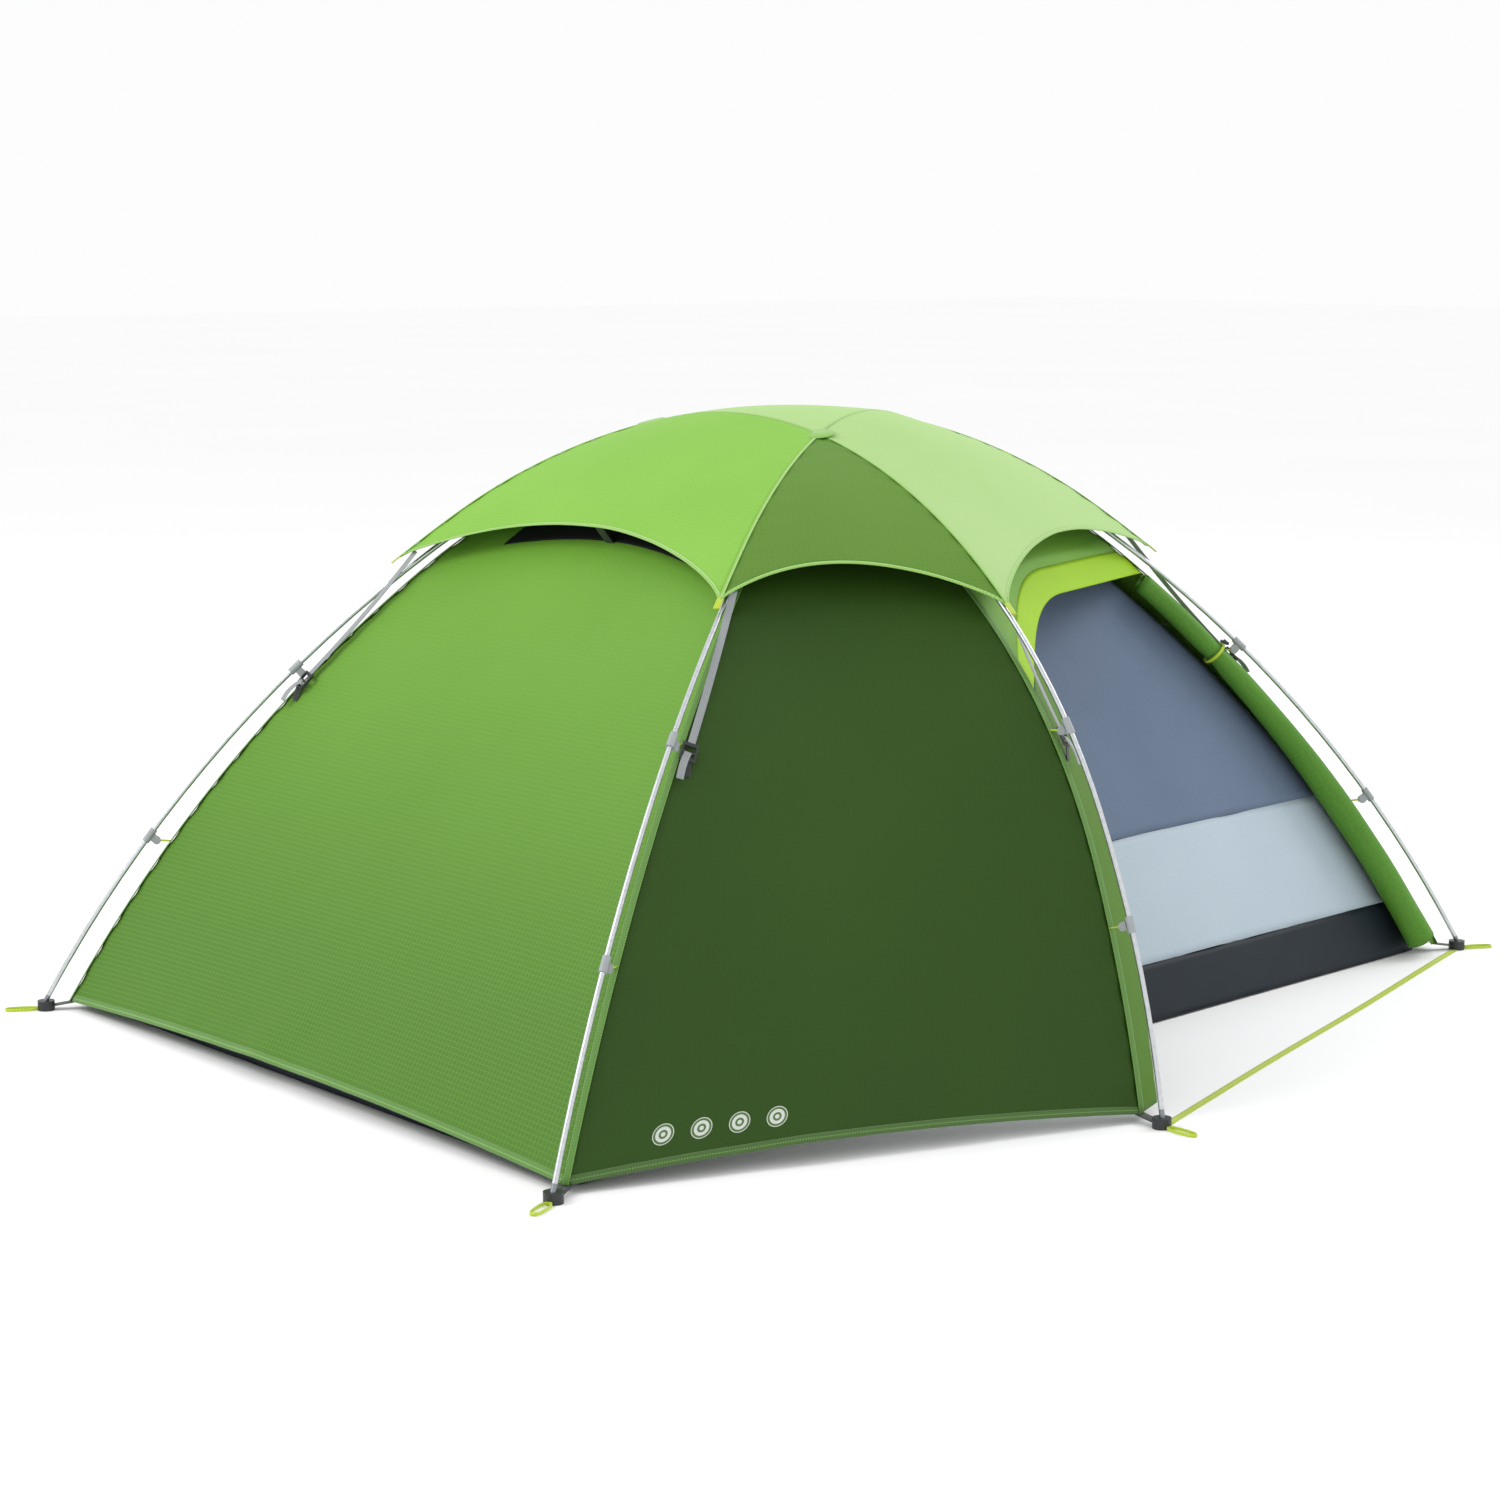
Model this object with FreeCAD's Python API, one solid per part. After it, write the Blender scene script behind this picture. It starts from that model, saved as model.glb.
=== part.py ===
import FreeCAD, Part
import math
import os
from FreeCAD import Vector

# A dome tent on three crossing poles. The poles stand outside the fly, which hangs under
# them on clips. A roof cap covers the crossings. An inner tent hangs inside the fly.
# Frame: +X from the head end to the foot end, -Y is the open door side, +Z up.
# The origin is on the ground, at the middle of the tent's plan. Sizes are millimetres.

# Plan of the pole feet
LENGTH = 2330.0
HEAD_HALF = 760.0
FOOT_HALF = 530.0
MIDDLE_AT = 960.0
MIDDLE_HALF = 1040.0

# Poles: two long ones from corner to corner, one short one across the tent
POLE_D = 8.5
POLE_WALL = 0.9
POLE_HEIGHT = 1020.0
STACK_STEP = 9.8
LEG_SECTIONS = 3
CROWN_SECTIONS = 2
SECTION_GAP = 0.4
FERRULE_HALF = 55.0
FERRULE_WALL = 0.7
FIT = 0.08
SHOCK_CORD_D = 2.6
TIP_LENGTH = 18.0
TIP_SPIGOT = 20.0
TIP_RECESS = 8.0
FOOT_START = 12.0

# Radii of the arches, as shares of each pole's half span, so they follow a change of plan
LONG_CROWN_SHARE = 0.7585
LONG_LEG_SHARE = 1.8248
SHORT_CROWN_SHARE = 0.952
SHORT_LEG_SHARE = 1.6442
FLY_LONG_LEG_SHARE = 2.0276
FLY_SHORT_CROWN_SHARE = 0.9135
FLY_SHORT_LEG_SHARE = 2.1154

# Fabric
CLOTH = 1.6
SEAM_GAP = 0.35
FLY_INSET = 44.0
FLY_DROP = 20.0
HEM_HEIGHT = 14.0
HEM_LIFT = 20.0
FLY_SAG = 18.0
TOP_CUT = 36.0

# Roof cap
CAP_OUTSET = 12.0
CAP_CLEAR = 8.0
CAP_TIP_HEIGHTS = {"head": 790.0, "mid": 774.0, "foot": 785.0}
CAP_SCALLOP = 120.0
CAP_SCALLOP_POWER = 0.7

# Door openings, measured across and along the panel
DOOR_SIDE_LOW = 62.0
DOOR_SIDE_HIGH = 110.0
DOOR_SIDE_HIGH_T = 0.7
DOOR_TOP_DEPTH = 300.0
DOOR_BAND_DEPTH = 60.0
DOOR_STRIP = 26.0
CORNER_SHARE = 0.4
CORNER_DROP = 0.10
BAND_GAP = 6.5
ROLL_R = 30.0
ROLL_TOP_R = 17.0
ROLL_LOW_T = 0.02
ROLL_HIGH_T = 0.76
ROLL_RINGS = 9
ROLL_TIE_AT = 0.66
TIE_WIDTH = 6.0
TIE_T = 2.4
TOGGLE_R = 3.2
TOGGLE_LENGTH = 34.0
TOGGLE_HUB_R = 4.6
TOGGLE_HUB_LOW = 2.2

# Inner tent
INNER_INSET = 95.0
INNER_DROP = 62.0
FLOOR_T = 2.4
TUB_BASE = 4.0
TUB_HEIGHT = 100.0
BAND_HEIGHT = 310.0
INNER_SAG = 10.0
PEAK_PATCH_R = 46.0
HANGER_D = 3.0
HANGER_VALLEY = 1.3
INNER_HANGERS = ((60.0, -20.0), (290.0, 20.0), (640.0, 20.0))

# Hardware
CUP_R = 15.0
CUP_HEIGHT = 17.0
WEBBING = 20.0
WEBBING_T = 1.6
GROUND_STRAP = 14.0
SEAT = 0.3
LOOP_LENGTH = 60.0
LOWER_CLIP_HEIGHT = 307.0
UPPER_CLIP_HEIGHT = 600.0
CLIP_LENGTH = 26.0
CLIP_WALL = 2.2
CLIP_EAR = 9.0
CLIP_EYE_R = 7.0
CORD_FALL = 12.0
CORD_D = 3.0
BUCKLE_LENGTH = 30.0
BUCKLE_WIDTH = 26.0
BUCKLE_T = 4.0
BUCKLE_HEIGHT = 560.0
BUCKLE_SIDE = 22.0
BUCKLE_RISE = 12.0
BUCKLE_FOOT = 24.0
BUCKLE_RAIL = 3.5
BUCKLE_SLOTS = ((4.0, 11.0), (15.0, 24.0))
BUCKLE_STRAP_SHARE = 0.6
BUCKLE_ANCHOR_SHARE = 0.8
PROP_WIDTH = 22.0
PROP_T = 3.0
SADDLE_R = 15.0
ZIP_WIDTH = 9.0
ZIP_T = 1.7
ZIP_LIFT = 1.0
SLIDER = (12.0, 9.0, 3.4)
SLIDER_CLEAR = 2.3
SLIDE_T = (0.10, 0.165)
PIN_R = 1.0
PIN_RISE = 2.8
EYE_R = 2.3
EYE_WIDTH = 4.4
PULL_LENGTH = 34.0

UP = Vector(0, 0, 1)
POLE_R = POLE_D / 2


# ---------------------------------------------------------------- pole arches
class Arch:
    """Half a pole in its own upright plane: a crown arc and a tangent leg arc."""

    def __init__(self, half_span, height, crown_r, leg_r):
        self.half = half_span
        self.height = height
        self.crown_r = crown_r
        self.leg_r = leg_r
        self.crown_z = height - crown_r
        reach = leg_r - crown_r
        slant = math.hypot(half_span, self.crown_z)
        along = (slant ** 2 + reach ** 2 - leg_r ** 2) / (2 * slant)
        across = math.sqrt(reach ** 2 - along ** 2)
        ex = half_span / slant
        ez = -self.crown_z / slant
        self.leg_s = along * ex + across * ez
        self.leg_z = self.crown_z + along * ez - across * ex
        if self.leg_s > 0:
            self.leg_s = along * ex - across * ez
            self.leg_z = self.crown_z + along * ez + across * ex
        self.join = math.atan2(-self.leg_s, self.crown_z - self.leg_z)
        self.foot = math.atan2(half_span - self.leg_s, -self.leg_z)
        self.leg_length = leg_r * (self.foot - self.join)
        self.top_length = self.leg_length + crown_r * self.join

    def angle(self, length):
        if length <= self.leg_length:
            return self.foot - length / self.leg_r
        return self.join - (length - self.leg_length) / self.crown_r

    def point(self, length):
        turn = self.angle(length)
        if length <= self.leg_length:
            return self.leg_s + self.leg_r * math.sin(turn), self.leg_z + self.leg_r * math.cos(turn)
        return self.crown_r * math.sin(turn), self.crown_z + self.crown_r * math.cos(turn)

    def at_height(self, z):
        turn = math.acos((z - self.leg_z) / self.leg_r)
        if turn >= self.join:
            return self.leg_r * (self.foot - turn)
        turn = math.acos((z - self.crown_z) / self.crown_r)
        return self.leg_length + self.crown_r * (self.join - turn)

    def at_offset(self, s):
        return self.leg_length + self.crown_r * (self.join - math.asin(s / self.crown_r))

    def crown_height(self, s):
        return self.crown_z + math.sqrt(self.crown_r ** 2 - s ** 2)


class Leg:
    """One side of a pole, or of the fabric line under it, seen from its foot."""

    def __init__(self, shape, foot, far_foot):
        self.arch = shape
        self.middle = (foot + far_foot) * 0.5
        self.out = (foot - far_foot).normalize()
        self.side = UP.cross(self.out)

    def point(self, length):
        s, z = self.arch.point(length)
        return self.middle + self.out * s + UP * z

    def normal(self, length):
        turn = self.arch.angle(length)
        return self.out * math.sin(turn) + UP * math.cos(turn)

    def tangent(self, length):
        turn = self.arch.angle(length)
        return UP * math.sin(turn) - self.out * math.cos(turn)


HEAD_X = -LENGTH / 2
FEET = {
    "head_rear": Vector(HEAD_X, HEAD_HALF, 0),
    "head_front": Vector(HEAD_X, -HEAD_HALF, 0),
    "mid_front": Vector(HEAD_X + MIDDLE_AT, -MIDDLE_HALF, 0),
    "foot_front": Vector(-HEAD_X, -FOOT_HALF, 0),
    "foot_rear": Vector(-HEAD_X, FOOT_HALF, 0),
    "mid_rear": Vector(HEAD_X + MIDDLE_AT, MIDDLE_HALF, 0),
}
FAR = {
    "head_rear": "foot_front",
    "foot_front": "head_rear",
    "head_front": "foot_rear",
    "foot_rear": "head_front",
    "mid_front": "mid_rear",
    "mid_rear": "mid_front",
}
LONG_SPAN = math.hypot(LENGTH, HEAD_HALF + FOOT_HALF)
LONG_HALF = LONG_SPAN / 2

LONG_CROWN_R = LONG_CROWN_SHARE * LONG_HALF
LONG_LEG_R = LONG_LEG_SHARE * LONG_HALF
SHORT_CROWN_R = SHORT_CROWN_SHARE * MIDDLE_HALF
SHORT_LEG_R = SHORT_LEG_SHARE * MIDDLE_HALF

# Where the poles cross, as distances from each pole's middle
SHORT_CROSS = HEAD_HALF - (HEAD_HALF + FOOT_HALF) * MIDDLE_AT / LENGTH
HEAD_CROSS = LONG_HALF - MIDDLE_AT / LENGTH * LONG_SPAN
AXIS_CROSS = HEAD_HALF / (HEAD_HALF + FOOT_HALF) * LONG_SPAN - LONG_HALF


def arch_pair(half_change, height, lift, long_leg_r=LONG_LEG_R, short_radii=(SHORT_CROWN_R, SHORT_LEG_R)):
    """A long and a short arch that meet where they cross, the short one lifted."""
    crown_r, leg_r = short_radii
    long_arch = Arch(LONG_HALF + half_change, height, LONG_CROWN_R, long_leg_r)
    meet = long_arch.crown_height(HEAD_CROSS) + lift
    short_top = meet + crown_r - math.sqrt(crown_r ** 2 - SHORT_CROSS ** 2)
    short_arch = Arch(MIDDLE_HALF + half_change, short_top, crown_r, leg_r)
    return long_arch, short_arch


def legs_of(long_arch, short_arch, second_long=None):
    made = {}
    for name, foot in FEET.items():
        shape = short_arch if name.startswith("mid") else long_arch
        if second_long and name in ("head_front", "foot_rear"):
            shape = second_long
        made[name] = Leg(shape, foot, FEET[FAR[name]])
    return made


low_long, over_all = arch_pair(0.0, POLE_HEIGHT, 2 * STACK_STEP)
high_long = Arch(LONG_HALF, POLE_HEIGHT + STACK_STEP, LONG_CROWN_R, LONG_LEG_R)
POLES = legs_of(low_long, over_all, high_long)
FLY_LONG_LEG_R = FLY_LONG_LEG_SHARE * LONG_HALF
FLY_SHORT_RADII = (FLY_SHORT_CROWN_SHARE * MIDDLE_HALF, FLY_SHORT_LEG_SHARE * MIDDLE_HALF)
FLY_ARCHES = arch_pair(-FLY_INSET, POLE_HEIGHT - FLY_DROP, 0.0, FLY_LONG_LEG_R, FLY_SHORT_RADII)
FLY = legs_of(*FLY_ARCHES)
CAP_HEIGHT = POLE_HEIGHT + 2 * STACK_STEP + POLE_R + CAP_CLEAR
CAP = legs_of(*arch_pair(CAP_OUTSET, CAP_HEIGHT, 0.0))
INNER_CORNERS = ("head_rear", "head_front", "foot_front", "foot_rear")
INNER_HEIGHT = POLE_HEIGHT - FLY_DROP - INNER_DROP
inner_long = Arch(LONG_HALF - INNER_INSET, INNER_HEIGHT, LONG_CROWN_R, LONG_LEG_R)
INNER = {name: Leg(inner_long, FEET[name], FEET[FAR[name]]) for name in INNER_CORNERS}

# Distance of each leg's first crossing from its pole's middle
CROSS = {
    "head_rear": HEAD_CROSS,
    "head_front": HEAD_CROSS,
    "mid_front": SHORT_CROSS,
    "mid_rear": SHORT_CROSS,
    "foot_front": AXIS_CROSS,
    "foot_rear": AXIS_CROSS,
}


# ---------------------------------------------------------------- solids
def closed(faces):
    sewn = Part.makeCompound(faces)
    sewn.sewShape(0.02)
    solid = Part.Solid(Part.Shell(sewn.Faces))
    if solid.Volume < 0:
        solid.reverse()
    return solid


def cloth_from_grid(outer, inner):
    """A sheet between two grids of points, closed round its four edges."""
    skins = []
    for grid in (outer, inner):
        skin = Part.BSplineSurface()
        skin.interpolate(grid)
        skins.append(skin)
    faces = [skins[0].toShape(), skins[1].toShape()]
    first, second = skins
    u0, u1, v0, v1 = first.bounds()
    p0, p1, q0, q1 = second.bounds()
    pairs = [
        (first.uIso(u0), second.uIso(p0)),
        (first.uIso(u1), second.uIso(p1)),
        (first.vIso(v0), second.vIso(q0)),
        (first.vIso(v1), second.vIso(q1)),
    ]
    for one, other in pairs:
        faces.append(Part.makeRuledSurface(one.toShape(), other.toShape()))
    return closed(faces)


def tube_run(leg, start, end, outer_r, inner_r=0.0, sideways=0.0, inward=0.0):
    """A round bar or tube that follows a leg from one length to another."""
    cut = leg.arch.leg_length
    stops = [start, cut, end] if start < cut < end else [start, end]
    shape = None
    for low, high in zip(stops, stops[1:]):
        on_leg = (low + high) / 2 <= cut
        arch = leg.arch
        if on_leg:
            centre = leg.middle + leg.out * arch.leg_s + UP * arch.leg_z
        else:
            centre = leg.middle + UP * arch.crown_z
        place = leg.point(low) - leg.normal(low) * inward
        turn = math.degrees((high - low) / (arch.leg_r if on_leg else arch.crown_r))
        face = Part.Face(Part.Wire([Part.Circle(place, leg.tangent(low), outer_r).toShape()]))
        if inner_r:
            bore = Part.Face(Part.Wire([Part.Circle(place, leg.tangent(low), inner_r).toShape()]))
            face = face.cut(bore).Faces[0]
        axis = leg.normal(low).cross(leg.tangent(low))
        piece = face.revolve(centre, axis, turn)
        shape = piece if shape is None else shape.fuse(piece)
    if sideways:
        shape.translate(leg.side * sideways)
    return shape.removeSplitter() if len(stops) > 2 else shape


def bar(start, end, width, thick, across):
    """A flat strap from point to point. Its width lies along `across`."""
    along = end - start
    wide = (across - along * (across.dot(along) / along.dot(along))).normalize()
    deep = along.cross(wide).normalize()
    corners = [
        start + wide * (width * a) + deep * (thick * b)
        for a, b in ((-0.5, -0.5), (0.5, -0.5), (0.5, 0.5), (-0.5, 0.5))
    ]
    face = Part.Face(Part.makePolygon(corners + [corners[0]]))
    return face.extrude(along)


def rod(start, end, radius):
    along = end - start
    return Part.makeCylinder(radius, along.Length, start, along)


def round_rod(start, end, radius):
    """A bar with ball ends, for a short tie that meets its neighbours at any slant."""
    tie = rod(start, end, radius)
    for place in (start, end):
        tie = tie.fuse(Part.makeSphere(radius, place))
    return tie.removeSplitter()


def dome_normal(legs, one, two):
    """Square to the cloth where two legs cross."""
    first = legs[one].tangent(legs[one].arch.at_offset(CROSS[one]))
    second = legs[two].tangent(legs[two].arch.at_offset(CROSS[two]))
    way = first.cross(second).normalize()
    return way if way.z > 0 else way * -1


def save(name, shapes):
    shape = shapes[0] if len(shapes) == 1 else Part.makeCompound(shapes)
    shape.exportStep("parts/" + name + ".step")
    bad = [index for index, solid in enumerate(shape.Solids) if not solid.isValid()]
    note = " INVALID " + str(bad) if bad else ""
    print(name, len(shape.Solids), round(shape.Volume), note)


# ---------------------------------------------------------------- fabric panels
class Panel:
    """The cloth between two legs, closed along its top by the pole that crosses them."""

    def __init__(self, legs, first, second, hem_z, sag, lift):
        self.names = (first, second)
        self.a = legs[first]
        self.b = legs[second]
        self.low = (self.a.arch.at_height(hem_z), self.b.arch.at_height(hem_z))
        self.high = (self.a.arch.at_offset(CROSS[first]), self.b.arch.at_offset(CROSS[second]))
        self.sag = sag
        self.lift = lift
        self.rim = None
        top_a = self.a.point(self.high[0])
        top_b = self.b.point(self.high[1])
        self.pointed = (top_a - top_b).Length < 1.0
        if self.pointed:
            self.high = (self.high[0] - TOP_CUT, self.high[1] - TOP_CUT)
        else:
            rim_name = RIM[frozenset((first, second))]
            self.rim = legs[rim_name]
            start = (top_a - self.rim.middle).dot(self.rim.out)
            end = (top_b - self.rim.middle).dot(self.rim.out)
            self.rim_ends = (self.rim.arch.at_offset(start), self.rim.arch.at_offset(end))

    def base(self, u, t):
        at_a = self.low[0] + (self.high[0] - self.low[0]) * t
        at_b = self.low[1] + (self.high[1] - self.low[1]) * t
        return self.a.point(at_a) * (1 - u) + self.b.point(at_b) * u

    def normal(self, u, t):
        at_a = self.low[0] + (self.high[0] - self.low[0]) * t
        at_b = self.low[1] + (self.high[1] - self.low[1]) * t
        return (self.a.normal(at_a) * (1 - u) + self.b.normal(at_b) * u).normalize()

    def point(self, u, t):
        place = self.base(u, t)
        if self.rim:
            at = self.rim_ends[0] + (self.rim_ends[1] - self.rim_ends[0]) * u
            place = place + (self.rim.point(at) - self.base(u, 1.0)) * t ** 3
        place = place + UP * (self.lift * 4 * u * (1 - u) * (1 - t) ** 3)
        dip = self.sag * math.sin(math.pi * u) * math.sin(math.pi * t)
        return place - self.normal(u, t) * dip

    def width(self, t):
        return (self.base(1, t) - self.base(0, t)).Length

    def height(self):
        return max(self.high[0] - self.low[0], self.high[1] - self.low[1])


RIM = {
    frozenset(("head_rear", "head_front")): "mid_rear",
    frozenset(("mid_front", "foot_front")): "head_front",
    frozenset(("foot_rear", "mid_rear")): "head_rear",
}


def clamp(value, low=0.0, high=1.0):
    return max(low, min(high, value))


def sheet(panel, left=None, right=None, bottom=None, top=None, out=0.0, thick=CLOTH, cells=(6, 8)):
    """Cloth over part of a panel. left and right are across-limits by t; bottom and top by u."""
    outer = []
    inner = []
    for row in range(cells[1] + 1):
        v = row / cells[1]
        outer_row = []
        inner_row = []
        for column in range(cells[0] + 1):
            share = column / cells[0]
            guess = share
            for _ in range(2):
                t0 = bottom(guess) if bottom else 0.0
                t1 = top(guess) if top else 1.0 - SEAM_GAP / panel.height()
                t = t0 + (t1 - t0) * v
                edge = SEAM_GAP / panel.width(t)
                u0 = left(t) if left else edge
                u1 = right(t) if right else 1.0 - edge
                guess = u0 + (u1 - u0) * share
            place = panel.point(guess, t)
            way = panel.normal(guess, t)
            outer_row.append(place + way * out)
            inner_row.append(place + way * (out - thick))
        outer.append(outer_row)
        inner.append(inner_row)
    return cloth_from_grid(outer, inner)


def crown_sheet(legs, thick=CLOTH, out=0.0):
    """The small three-sided top panel, from the short pole to where the long poles cross."""
    first = legs["head_rear"]
    second = legs["head_front"]
    across = legs["mid_rear"]
    start = first.arch.at_offset(HEAD_CROSS) + SEAM_GAP
    end = first.arch.at_offset(-AXIS_CROSS) - TOP_CUT
    rows = 5
    outer = []
    inner = []
    for row in range(rows + 1):
        t = row / rows
        at = start + (end - start) * t
        a = first.point(at)
        b = second.point(at)
        reach = (a - b).Length / 2
        rise = across.arch.crown_r - math.sqrt(across.arch.crown_r ** 2 - reach ** 2)
        outer_row = []
        inner_row = []
        for column in range(rows + 1):
            u = SEAM_GAP / reach + (1 - 2 * SEAM_GAP / reach) * column / rows
            place = a * (1 - u) + b * u + UP * (rise * 4 * u * (1 - u) * (1 - t))
            way = (first.normal(at) * (1 - u) + second.normal(at) * u).normalize()
            outer_row.append(place + way * out)
            inner_row.append(place + way * (out - thick))
        outer.append(outer_row)
        inner.append(inner_row)
    return cloth_from_grid(outer, inner)


PAIRS = {
    "head": ("head_rear", "head_front"),
    "front": ("head_front", "mid_front"),
    "door": ("mid_front", "foot_front"),
    "foot": ("foot_front", "foot_rear"),
    "rear_door": ("foot_rear", "mid_rear"),
    "rear": ("mid_rear", "head_rear"),
}
FLY_PANELS = {}
CAP_PANELS = {}
for pair_name, (first_leg, second_leg) in PAIRS.items():
    FLY_PANELS[pair_name] = Panel(FLY, first_leg, second_leg, HEM_HEIGHT, FLY_SAG, HEM_LIFT)
    CAP_PANELS[pair_name] = Panel(CAP, first_leg, second_leg, HEM_HEIGHT, 0.0, 0.0)


def door_limits(panel, mid_is_first):
    """Limits of a door opening: the side strip, the strip under the roll, and the arch."""

    def side(t):
        wide = DOOR_SIDE_LOW + (DOOR_SIDE_HIGH - DOOR_SIDE_LOW) * clamp(t / DOOR_SIDE_HIGH_T)
        return wide / panel.width(t)

    def strip(t):
        return DOOR_STRIP / panel.width(t)

    def arch_line(depth):
        def line(u):
            v = u if mid_is_first else 1 - u
            low = 1 - depth / panel.height()
            corner = clamp(1 - v / CORNER_SHARE) ** 2
            return low - corner * CORNER_DROP
        return line

    return side, strip, arch_line


def make_fly():
    save("fly_head_panel", [sheet(FLY_PANELS["head"])])
    save("fly_front_panel", [sheet(FLY_PANELS["front"])])
    save("fly_foot_panel", [sheet(FLY_PANELS["foot"])])
    save("fly_rear_panel", [sheet(FLY_PANELS["rear"])])
    save("fly_crown_panel", [crown_sheet(FLY)])
    for name, mid_first in (("door", True), ("rear_door", False)):
        panel = FLY_PANELS[name]
        side, strip, arch_line = door_limits(panel, mid_first)
        edge = arch_line(DOOR_TOP_DEPTH)
        band_edge = arch_line(DOOR_TOP_DEPTH - DOOR_BAND_DEPTH)
        gap = 2 * SEAM_GAP / panel.height()
        band_gap = BAND_GAP / panel.height()
        if mid_first:
            near = sheet(panel, right=side, top=lambda u: edge(u) - band_gap, cells=(3, 8))
            save("door_side_strip", [near])
            far = sheet(panel, left=lambda t: 1 - strip(t), top=lambda u: edge(u) - band_gap, cells=(2, 8))
            save("door_roll_strip", [far])
            band = sheet(panel, bottom=edge, top=lambda u: band_edge(u) - gap, cells=(20, 2))
            save("door_arch_band", [band])
            save("door_top_panel", [sheet(panel, bottom=band_edge, cells=(20, 4))])
        else:
            far = sheet(panel, left=lambda t: 1 - side(t), top=lambda u: edge(u) - band_gap, cells=(3, 8))
            near = sheet(panel, right=strip, top=lambda u: edge(u) - band_gap, cells=(2, 8))
            save("rear_door_strips", [far, near])
            band = sheet(panel, bottom=edge, top=lambda u: band_edge(u) - gap, cells=(20, 2))
            save("rear_door_band", [band])
            save("rear_door_top_panel", [sheet(panel, bottom=band_edge, cells=(20, 4))])
            leaf = sheet(
                panel,
                left=lambda t: strip(t) + 2 * SEAM_GAP / panel.width(t),
                right=lambda t: 1 - side(t) - 2 * SEAM_GAP / panel.width(t),
                top=lambda u: edge(u) - gap,
                cells=(18, 8),
            )
            save("rear_door_leaf", [leaf])


def cap_edge(panel):
    """The cap's lower edge: it drops to a point on each pole and rises between them."""
    heights = [CAP_TIP_HEIGHTS[leg_name.split("_")[0]] for leg_name in panel.names]
    tips = (panel.a.arch.at_height(heights[0]), panel.b.arch.at_height(heights[1]))
    shares = [(tip - low) / (high - low) for tip, low, high in zip(tips, panel.low, panel.high)]
    rise = CAP_SCALLOP / panel.height()

    def line(u):
        level = shares[0] * (1 - u) + shares[1] * u
        return level + rise * (4 * u * (1 - u)) ** CAP_SCALLOP_POWER
    return line


def make_cap():
    for name, panel in CAP_PANELS.items():
        across = 10 if panel.width(0.8) > 500 else 8
        save("cap_" + name + "_panel", [sheet(panel, bottom=cap_edge(panel), cells=(across, 4))])
    save("cap_crown_panel", [crown_sheet(CAP)])


# ---------------------------------------------------------------- poles
def half_stops(leg):
    arch = leg.arch
    stops = [TIP_LENGTH + FOOT_START]
    first = stops[0]
    stops += [first + (arch.leg_length - first) * n / LEG_SECTIONS for n in range(1, LEG_SECTIONS + 1)]
    crown = arch.top_length - arch.leg_length
    stops += [arch.leg_length + crown * n / CROWN_SECTIONS for n in range(1, CROWN_SECTIONS + 1)]
    return stops


def make_poles():
    bore = POLE_R - POLE_WALL
    names = (("head_rear", "pole_head_rear"), ("head_front", "pole_head_front"), ("mid_front", "pole_middle"))
    ferrules = []
    cords = []
    for foot, node in names:
        tubes = []
        for name in (foot, FAR[foot]):
            leg = POLES[name]
            stops = half_stops(leg)
            for low, high in zip(stops, stops[1:]):
                tubes.append(tube_run(leg, low, high - SECTION_GAP, POLE_R, bore))
            for stop in stops[1:-1]:
                run = (stop - FERRULE_HALF, stop + FERRULE_HALF)
                ferrules.append(tube_run(leg, *run, bore - FIT, bore - FIT - FERRULE_WALL))
            core = tube_run(leg, stops[0] + TIP_SPIGOT + SECTION_GAP, stops[-1], SHOCK_CORD_D / 2)
            cords.append(core)
        leg = POLES[foot]
        top = leg.arch.top_length
        run = (top - FERRULE_HALF, top + FERRULE_HALF)
        ferrules.append(tube_run(leg, *run, bore - FIT, bore - FIT - FERRULE_WALL))
        save(node, tubes)
    save("pole_ferrules", ferrules)
    joined = [cords[n].fuse(cords[n + 1]).removeSplitter() for n in (0, 2, 4)]
    save("shock_cords", joined)
    tips = []
    for leg in POLES.values():
        cap = tube_run(leg, FOOT_START, FOOT_START + TIP_LENGTH - SECTION_GAP, POLE_R)
        spigot = tube_run(leg, FOOT_START + TIP_LENGTH - 1, FOOT_START + TIP_LENGTH + TIP_SPIGOT, bore - FIT)
        tips.append(cap.fuse(spigot).removeSplitter())
    save("pole_tips", tips)


def make_saddles():
    """A moulded saddle holds the poles together over each crossing of the fly's seams."""
    spots = (("head_rear", "mid_rear"), ("head_front", "mid_front"), ("foot_front", "foot_rear"))
    saddles = []
    for one, two in spots:
        low = POLES[one]
        other = POLES[two]
        length = low.arch.at_offset(CROSS[one])
        other_length = other.arch.at_offset(CROSS[two])
        way = dome_normal(FLY, one, two)
        seam = FLY[one].point(FLY[one].arch.at_offset(CROSS[one]))
        rise = max((low.point(length) - seam).dot(way), (other.point(other_length) - seam).dot(way))
        block = Part.makeCylinder(SADDLE_R, rise - 2 * SEAT, seam + way * (2 * SEAT), way)
        for leg, at in ((low, length), (other, other_length)):
            block = block.cut(tube_run(leg, at - 3 * SADDLE_R, at + 3 * SADDLE_R, POLE_R + 3 * FIT))
        saddles.append(block)
    save("crossing_saddles", [solid for block in saddles for solid in block.Solids])


# ---------------------------------------------------------------- feet and straps
def cup_centre(name):
    leg = POLES[name]
    place = leg.point(FOOT_START + TIP_RECESS)
    return Vector(place.x, place.y, 0)


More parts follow.
